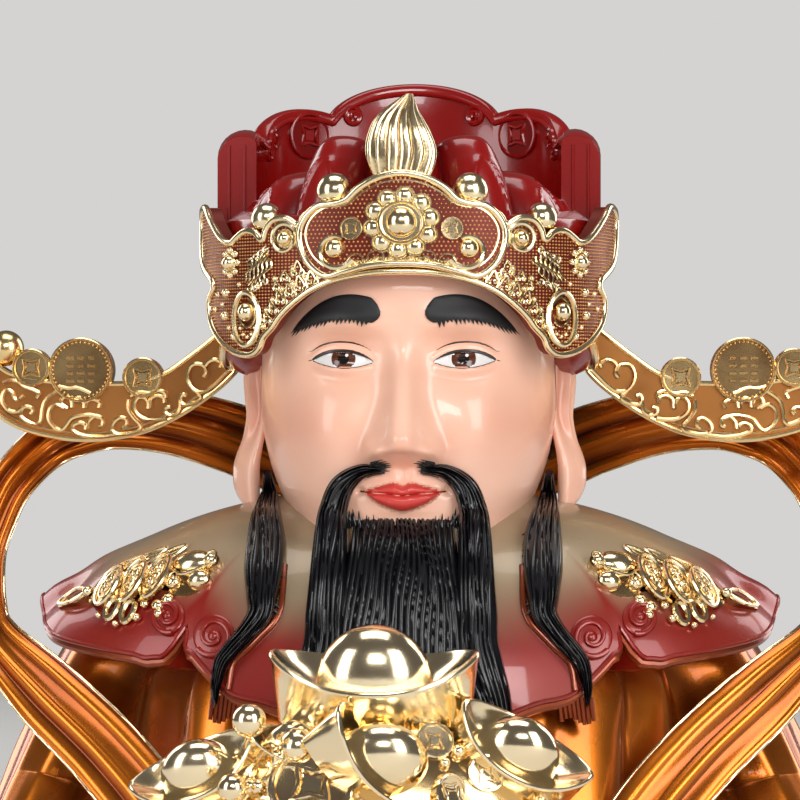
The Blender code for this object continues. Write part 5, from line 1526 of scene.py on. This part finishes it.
# Wires of the cloud scrolls on a wing: place outward and height
WING_LINES = (
    ((61.1, 188.4), (63.8, 189.3), (65.6, 191.7), (65.3, 193.7)),
    ((61.1, 188.3), (63.5, 186.4), (67, 182.8), (70, 179.9), (72.9, 178.1), (76.5, 178.4), (78.8, 181.1),
     (79.4, 184), (78.2, 187), (75.9, 187.8), (73.5, 187), (72.6, 184.6), (73.6, 183)),
    ((73.4, 186.8), (71.7, 188.7), (69.4, 189.3), (67.3, 188.1), (67.7, 186.4)),
    ((76.5, 178.4), (74.6, 175.8), (77, 173.9), (80.6, 173.4), (81.9, 175.2), (81.2, 176.9), (79.9, 176.4)),
    ((81.9, 174.9), (82.3, 171.1), (84.7, 169.5), (87.1, 170.5), (87.1, 172.2), (85.6, 172.5)),
    ((87.1, 168.4), (90.6, 168), (94.7, 168.4), (97.7, 170.5), (98.5, 173.4), (97.1, 175.8), (94.8, 175.8),
     (93.5, 174), (93.5, 171.9)),
    ((93, 172.2), (92.7, 175.2), (90.6, 176.6), (88.1, 175.9), (87.6, 174)),
    ((100, 176.4), (97.1, 177.8), (93, 177.5), (90, 178.4), (87.6, 177.5), (87.2, 175.8)),
    ((100.5, 175.2), (100.6, 171.6), (98.8, 168.7), (96.2, 165.8), (97.1, 164), (101.2, 163), (104.7, 163),
     (106.5, 164.6), (105.9, 166.9), (103.6, 168.7), (101.5, 168.1), (101.2, 166.3), (102.7, 164.9)),
    ((104.7, 162.7), (110.6, 161.9), (116.5, 162.5), (120.1, 164), (120.2, 166), (117.8, 166.9),
     (116, 165.9), (116, 164.5)),
    ((115.3, 164.9), (114.7, 167.5), (112.4, 169.3), (110, 168.1), (110, 166), (111.3, 165.5)),
    ((122.5, 172.1), (124.6, 173.9), (123.9, 175.8), (121.8, 175.8), (120.9, 174.1), (120.9, 172.3)),
    ((120.5, 172.5), (120.1, 175.2), (118, 175.8), (116.6, 174), (116.5, 172.2)),
    ((116, 172.2), (115.3, 174.6), (113, 175.2), (110.9, 174), (111.2, 172.2)),
    ((123.6, 172.2), (126.5, 173.4), (128.9, 171.6), (129.2, 168.1), (127.1, 165.2), (124.8, 164.3),
     (123, 165.8), (120.9, 168.4), (117.1, 169.5), (113.9, 169.6), (110.7, 168.6)),
    ((125.6, 179.9), (122.4, 179.2), (118.9, 179.3), (114.2, 177.4)),
    ((126.1, 178.1), (130.1, 175.2), (131.5, 171.6), (132.1, 167.5), (134.2, 166.5), (137.7, 168.1),
     (139.2, 169.9), (138.3, 172.2), (136.3, 172.5), (134.8, 171.3), (135.7, 169.9)),
    ((133.5, 175.6), (132.7, 177.5), (134.5, 178.7), (137.7, 179.9), (140.1, 181.7), (143, 182.2),
     (145.7, 181.1)),
    ((138.3, 176.5), (140.1, 175.2), (141.4, 175.8), (142.4, 178.1), (144.2, 178.7), (145.7, 176.9),
     (145.7, 174), (143.6, 171.3), (140.7, 170.8), (138.4, 172.2)),
)
# Short bars in rows on a wing's large coin
STROKE_COLUMNS = (-3.8, 0.0, 3.8)
STROKE_ROWS = (4.2, 1.5, -1.2, -3.9)


def hat_wing(side):
    """Bowed wing with a raised scrollwork band, coins on its upper edge and a ball."""
    surface = wing_skin(side)
    outline = wing_outline()
    ground = [slab(outline, surface, WING_THICK, step=3.5)]
    gold = [wire(surface, outline, 1.0, -0.2, sides=8, closed=True)]
    back_y = WING_Y + WING_THICK / 2 - 1.5 * ease(100, 60, outline[:, 0])
    back_rim = np.stack([side * outline[:, 0], back_y, outline[:, 1]], axis=-1)
    gold.append(tube(back_rim, 0.9, 6, closed=True, facing=(0, 1, 0)))
    lower = spline(WING_LOWER, 70) + np.array((0, 2.2))
    gold.append(wire(surface, lower[2:-3], 0.55, 0.2, sides=6))
    for line in WING_LINES:
        gold.append(wire(surface, spline(line, 8 * len(line)), 0.85, 0.5, sides=7))
    for x, z, radius in WING_COINS:
        for facing, spot in ((-1, WING_Y - WING_THICK / 2), (1, WING_Y + WING_THICK / 2)):
            face = lambda u, v, h, f=facing, y0=spot: np.stack([side * u, y0 + f * h, v + 0 * u], axis=-1)
            if radius < 10:
                gold += cash_coin(face, (x, z), radius, rise=1.8)
                continue
            profile = [(radius, -2.5), (radius, 1.5), (radius * 0.97, 1.8), (radius * 0.93, 1.8),
                       (radius * 0.9, 1.0), (radius * 0.5, 0.9)]
            # The sunk field inside the rim is darker: painted shade.
            gold.append(stud(face, (x, z), profile, 48, tones=(1, 1, 1, 1, 0.3, 0.4)))
            for k in range(40):
                a = 2 * math.pi * k / 40
                gold.append(stud(face, (x + radius * 0.86 * math.sin(a), z + radius * 0.86 * math.cos(a)),
                                 dome_rows(0.5, 0.6, 3, 0.9), 6))
            for column, u in enumerate(STROKE_COLUMNS):
                for row, v in enumerate(STROKE_ROWS):
                    half = 1.0 + 0.2 * ((column + 2 * row) % 3)
                    ends = np.linspace((x + u - half, z + v), (x + u + half, z + v), 4)
                    gold.append(wire(face, ends, 0.6, 1.0, sides=6))
    x, z, radius = WING_PEARL
    gold.append(ball((side * x, WING_Y, z), radius, 36, 24))
    gold.append(wire(surface, coil(WING_TIP, 7.6, 1.6, 200, -1.9, 80), np.linspace(1.3, 0.8, 80), 0.6, sides=8))
    gold.append(stud(surface, WING_TIP, dome_rows(2.2, 2.6, 6, 0.3), 18))
    return ground, gold


# Heap of ingots

# Rings of an ingot, from its foot to the bowl: share of the half length and half width, height, rise of the ends
INGOT_RINGS = (
    (0.88, 0.56, -0.17, 0.0), (0.92, 0.62, -0.165, 0.004), (0.94, 0.76, -0.09, 0.035), (0.965, 0.92, -0.01, 0.08),
    (0.985, 0.985, 0.045, 0.102), (1.0, 1.0, 0.055, 0.108), (1.0, 1.0, 0.062, 0.111), (0.985, 0.98, 0.072, 0.112),
    (0.955, 0.945, 0.075, 0.108), (0.93, 0.92, 0.070, 0.102), (0.84, 0.87, 0.045, 0.075),
    (0.70, 0.80, 0.018, 0.035), (0.62, 0.74, 0.004, 0.015), (0.58, 0.70, 0.0, 0.005),
)
INGOT_DOME = 0.3


def ingot(centre, length, yaw, pitch, roll):
    """Boat-shaped ingot: hull, thick rim that rises to both ends, bowl and domed middle."""
    a = 2 * math.pi * np.arange(64) / 64
    rows = list(INGOT_RINGS)
    for u in np.radians(np.linspace(4, 86, 11)):
        rows.append((0.56 * math.cos(u), 0.68 * math.cos(u), INGOT_DOME * math.sin(u) + 0.01, 0.0))
    rings = []
    for long_share, wide_share, height, rise in rows:
        pointed = np.copysign(np.abs(np.sin(a)) ** (1.0 + 0.25 * ease(0.6, 1.0, long_share)), np.sin(a))
        rings.append(np.stack([length * 0.5 * long_share * np.cos(a), length * 0.30 * wide_share * pointed,
                               length * (height + rise * np.abs(np.cos(a)) ** 2.5)], axis=-1))
    shape = grid(np.array(rings), wrap=True, ends=True)
    shape.verts[-1, 2] = length * (INGOT_DOME + 0.01)
    turn = (Matrix.Rotation(math.radians(yaw), 3, "Z") @ Matrix.Rotation(math.radians(pitch), 3, "X")
            @ Matrix.Rotation(math.radians(roll), 3, "Y"))
    shape.verts = shape.verts @ np.array(turn).T + np.array(centre)
    return shape


# Ingots of the heap: middle, length, yaw, pitch, roll
INGOTS = (
    ((-6.7, -113, 83.7), 67, 0, 14, 0),
    ((-4.9, -127, 60.9), 53, 0, 42, 46),
    ((38.1, -116, 62.5), 48, -14, 32, 36),
    ((-61.5, -117, 56), 44, 14, 34, -30),
    ((-32.2, -117, 64.2), 34, 12, 30, 10),
    ((36, -124, 27), 50, -18, 42, 8),
    ((-24, -130, 28), 54, 6, 46, -6),
    ((-64, -112, 20), 44, 30, 38, 10),
)
# Coins of the heap: middle, radius, facing
HEAP_COINS = (((-25, -133, 55), 14, (-0.15, -0.8, 0.6)), ((8, -139, 14), 9, (0.1, -1, 0.2)))
# Balls of the heap: middle and radius
HEAP_BALLS = ((-45, -132, 75, 5.4), (-50, -134, 54, 4.7), (-30.3, -124, 66, 6))


def loose_coin(centre, radius, facing):
    """Coin of the heap, with its rim and square hole."""
    n = unit(facing)
    right = unit(np.cross((0, 0, 1), n))
    top = np.cross(n, right)
    surface = lambda u, v, h: (np.array(centre) + np.asarray(u)[..., None] * right + np.asarray(v)[..., None] * top
                               + np.asarray(h)[..., None] * n)
    return cash_coin(surface, (0, 0), radius, rise=1.6)


def mound_point(turn, z, off=0.0):
    rows = ((0, 70, 29.6, -110), (20, 70, 29.6, -110), (42, 58, 25, -111), (60, 42, 19, -111), (72, 22, 13, -111))
    half, depth, y = (follow(rows, z, k) for k in range(1, 4))
    a = np.radians(turn)
    return np.stack([-7 + (half + off) * bent(np.sin(a), 2.5), y - (depth + off) * bent(np.cos(a), 2.3),
                     z + 0 * a], axis=-1)


def ingot_heap():
    turn, z = np.meshgrid(np.linspace(0, 360, 120, endpoint=False), np.linspace(0, 72, 40))
    # The mound between the ingots has a dark tone: painted shade between them.
    parts = [grid(mound_point(turn, z, -1.0), wrap=True, ends=True, tone=0.2)]
    parts += [ingot(*row) for row in INGOTS]
    for centre, radius, facing in HEAP_COINS:
        parts += loose_coin(centre, radius, facing)
    parts += [ball(row[:3], row[3], 24, 16) for row in HEAP_BALLS]
    rng = random.Random(5)
    for k in range(70):
        angle = rng.uniform(-100, 100)
        height = rng.uniform(3, 68)
        foot = mound_point(np.array(angle), np.array(height))
        out = unit(mound_point(np.array(angle), np.array(height), 1.0) - foot)
        if k % 3:
            parts.append(ball(foot + out * 0.6, rng.uniform(1.6, 2.8), 14, 9))
        else:
            tilt = np.array([rng.uniform(-0.5, 0.5), rng.uniform(-0.3, 0.0), rng.uniform(0.0, 0.6)])
            parts += loose_coin(foot - out * 0.4, rng.uniform(5, 7), out + tilt)
    return parts


# Studio, in metres

FLOOR_REACH = 1.0
STATUE_MIDDLE = (0, -0.02, 0.17)
# Soft lights: name, place, size and power
LIGHTS = (
    ("key", (0.75, -0.90, 0.50), (0.45, 0.9), 7.5), ("fill", (-0.85, -0.75, 0.45), (0.4, 0.9), 4.5),
    ("front", (0.1, -1.5, 0.75), (0.6, 0.3), 6.5), ("top", (0.0, -0.1, 1.1), (0.7, 0.5), 3.5),
    ("rim_left", (-0.8, 0.6, 0.5), (0.4, 0.8), 3.5), ("rim_right", (0.8, 0.6, 0.5), (0.4, 0.8), 3.5),
)
CAMERA_PLACE = (0.045, -1.199, 0.175)
CAMERA_TARGET = (-0.00315, 0, 0.175)
LENS_MM = 154.3


def aim(thing, target):
    thing.rotation_euler = (Vector(target) - thing.location).to_track_quat("-Z", "Y").to_euler()


def softbox(name, place, size, power):
    data = bpy.data.lights.new(name, "AREA")
    data.shape = "RECTANGLE"
    data.size, data.size_y = size
    data.energy = power
    lamp = bpy.data.objects.new(name, data)
    lamp.location = place
    bpy.context.scene.collection.objects.link(lamp)
    aim(lamp, STATUE_MIDDLE)


def studio():
    """Pale floor, soft light from both sides and above, and the camera at the photograph's angle."""
    scene = bpy.context.scene
    scene.view_settings.view_transform = "Standard"
    mesh = bpy.data.meshes.new("floor")
    corners = ((-1, -1, 0), (1, -1, 0), (1, 1, 0), (-1, 1, 0))
    mesh.from_pydata([(FLOOR_REACH * x, FLOOR_REACH * y, z) for x, y, z in corners], [], [(0, 1, 2, 3)])
    floor = bpy.data.objects.new("floor", mesh)
    scene.collection.objects.link(floor)
    pale = bpy.data.materials.new("pale_floor")
    pale.use_nodes = True
    shader = pale.node_tree.nodes["Principled BSDF"]
    shader.inputs["Base Color"].default_value = (0.78, 0.77, 0.75, 1)
    shader.inputs["Roughness"].default_value = 0.8
    mesh.materials.append(pale)

    world = bpy.data.worlds.new("studio")
    world.use_nodes = True
    tree = world.node_tree
    backdrop = tree.nodes["Background"]
    backdrop.inputs["Color"].default_value = (0.66, 0.65, 0.64, 1)
    backdrop.inputs["Strength"].default_value = 1.0
    dim = add_node(tree, "Background", Color=(0.30, 0.28, 0.27, 1), Strength=0.35)
    sight = add_node(tree, "LightPath")
    mix = add_node(tree, "MixShader")
    tree.links.new(sight.outputs["Is Camera Ray"], mix.inputs["Fac"])
    tree.links.new(dim.outputs["Background"], mix.inputs[1])
    tree.links.new(backdrop.outputs["Background"], mix.inputs[2])
    tree.links.new(mix.outputs["Shader"], tree.nodes["World Output"].inputs["Surface"])
    scene.world = world

    for row in LIGHTS:
        softbox(*row)

    lens = bpy.data.cameras.new("camera")
    lens.sensor_width = 36.0
    lens.lens = LENS_MM
    camera = bpy.data.objects.new("camera", lens)
    camera.location = CAMERA_PLACE
    scene.collection.objects.link(camera)
    aim(camera, CAMERA_TARGET)
    scene.camera = camera


studio()

piece("face_and_ears", [([head(), ear(-1), ear(1)], SKIN)], sharp=50)
piece("eyes", [part for side in (-1, 1) for part in eyes(side)])
piece("lips", lips())
piece("brows", [([brow(-1, 1), brow(1, 2)], BROW), ([sideburn(-1), sideburn(1)], HAIR)])
piece("hair_behind", [(hair_back(), HAIR)], sharp=60)
piece("beard", [(beard(), HAIR)], sharp=70)
for side, name in ((-1, "left"), (1, "right")):
    piece(f"moustache_{name}", [(moustache(side), HAIR)], sharp=70)
    piece(f"side_lock_{name}", [(side_lock(side), HAIR)], sharp=70)

band, trims = hat_band()
piece("hat_cap", [([cap(), band], HAT_RED)])
piece("hat_trim", [(trims, GOLD)])
piece("cloud_plate", [(cloud_plate() + cloud_coins(), HAT_RED)])
crown_ground, crown_gold, crown_dots = crown()
piece("crown_ground", [(crown_ground, CROWN_RED)])
piece("crown_gilding", [(crown_gold, GOLD)])
piece("crown_granules", [(crown_dots, CROWN_DOT)], flip=False, sharp=80)
piece("flame_and_pearls", [([flame()] + pearls(), GOLD)], sharp=60)

# The band under the collar's edge is dark: painted shade.
piece("cloud_collar", [(collar(), COLLAR), (collar_shade_band(), DARK_COPPER_AND_SHADE), (collar_bead(), COLLAR),
                       ([collar_seam(-1), collar_seam(1)], DARK_COPPER_AND_SHADE)])
piece("collar_scrolls", [(collar_scroll(side, *row), COLLAR) for side in (-1, 1) for row in COLLAR_SCROLLS])
piece("collar_fringe", [(fringe(-1) + fringe(1), DARK_COPPER_AND_SHADE)])
piece("inner_collar", [(inner_collar(), SILVER)])
piece("robe_trunk", [(trunk(), ROBE)], sharp=60)
for side, name in ((-1, "left"), (1, "right")):
    piece(f"sleeve_{name}", [(sleeve(side), ROBE)], sharp=60)
    piece(f"fish_{name}", [(fish(side), GOLD)])

ribbon, ribbon_edges = scarf()
piece("scarf_ribbon", [(ribbon, ROBE), (ribbon_edges, GOLD)], nodes=("scarf",), sharp=60)
for side, name in ((-1, "left"), (1, "right")):
    wing_ground, wing_gold = hat_wing(side)
    piece(f"wing_{name}", [(wing_ground, WING_BRASS), (wing_gold, WING_GOLD)], nodes=(f"hat_wing_{name}",))
piece("ingots", [(ingot_heap(), PALE_GOLD)], nodes=("ingot_heap",))
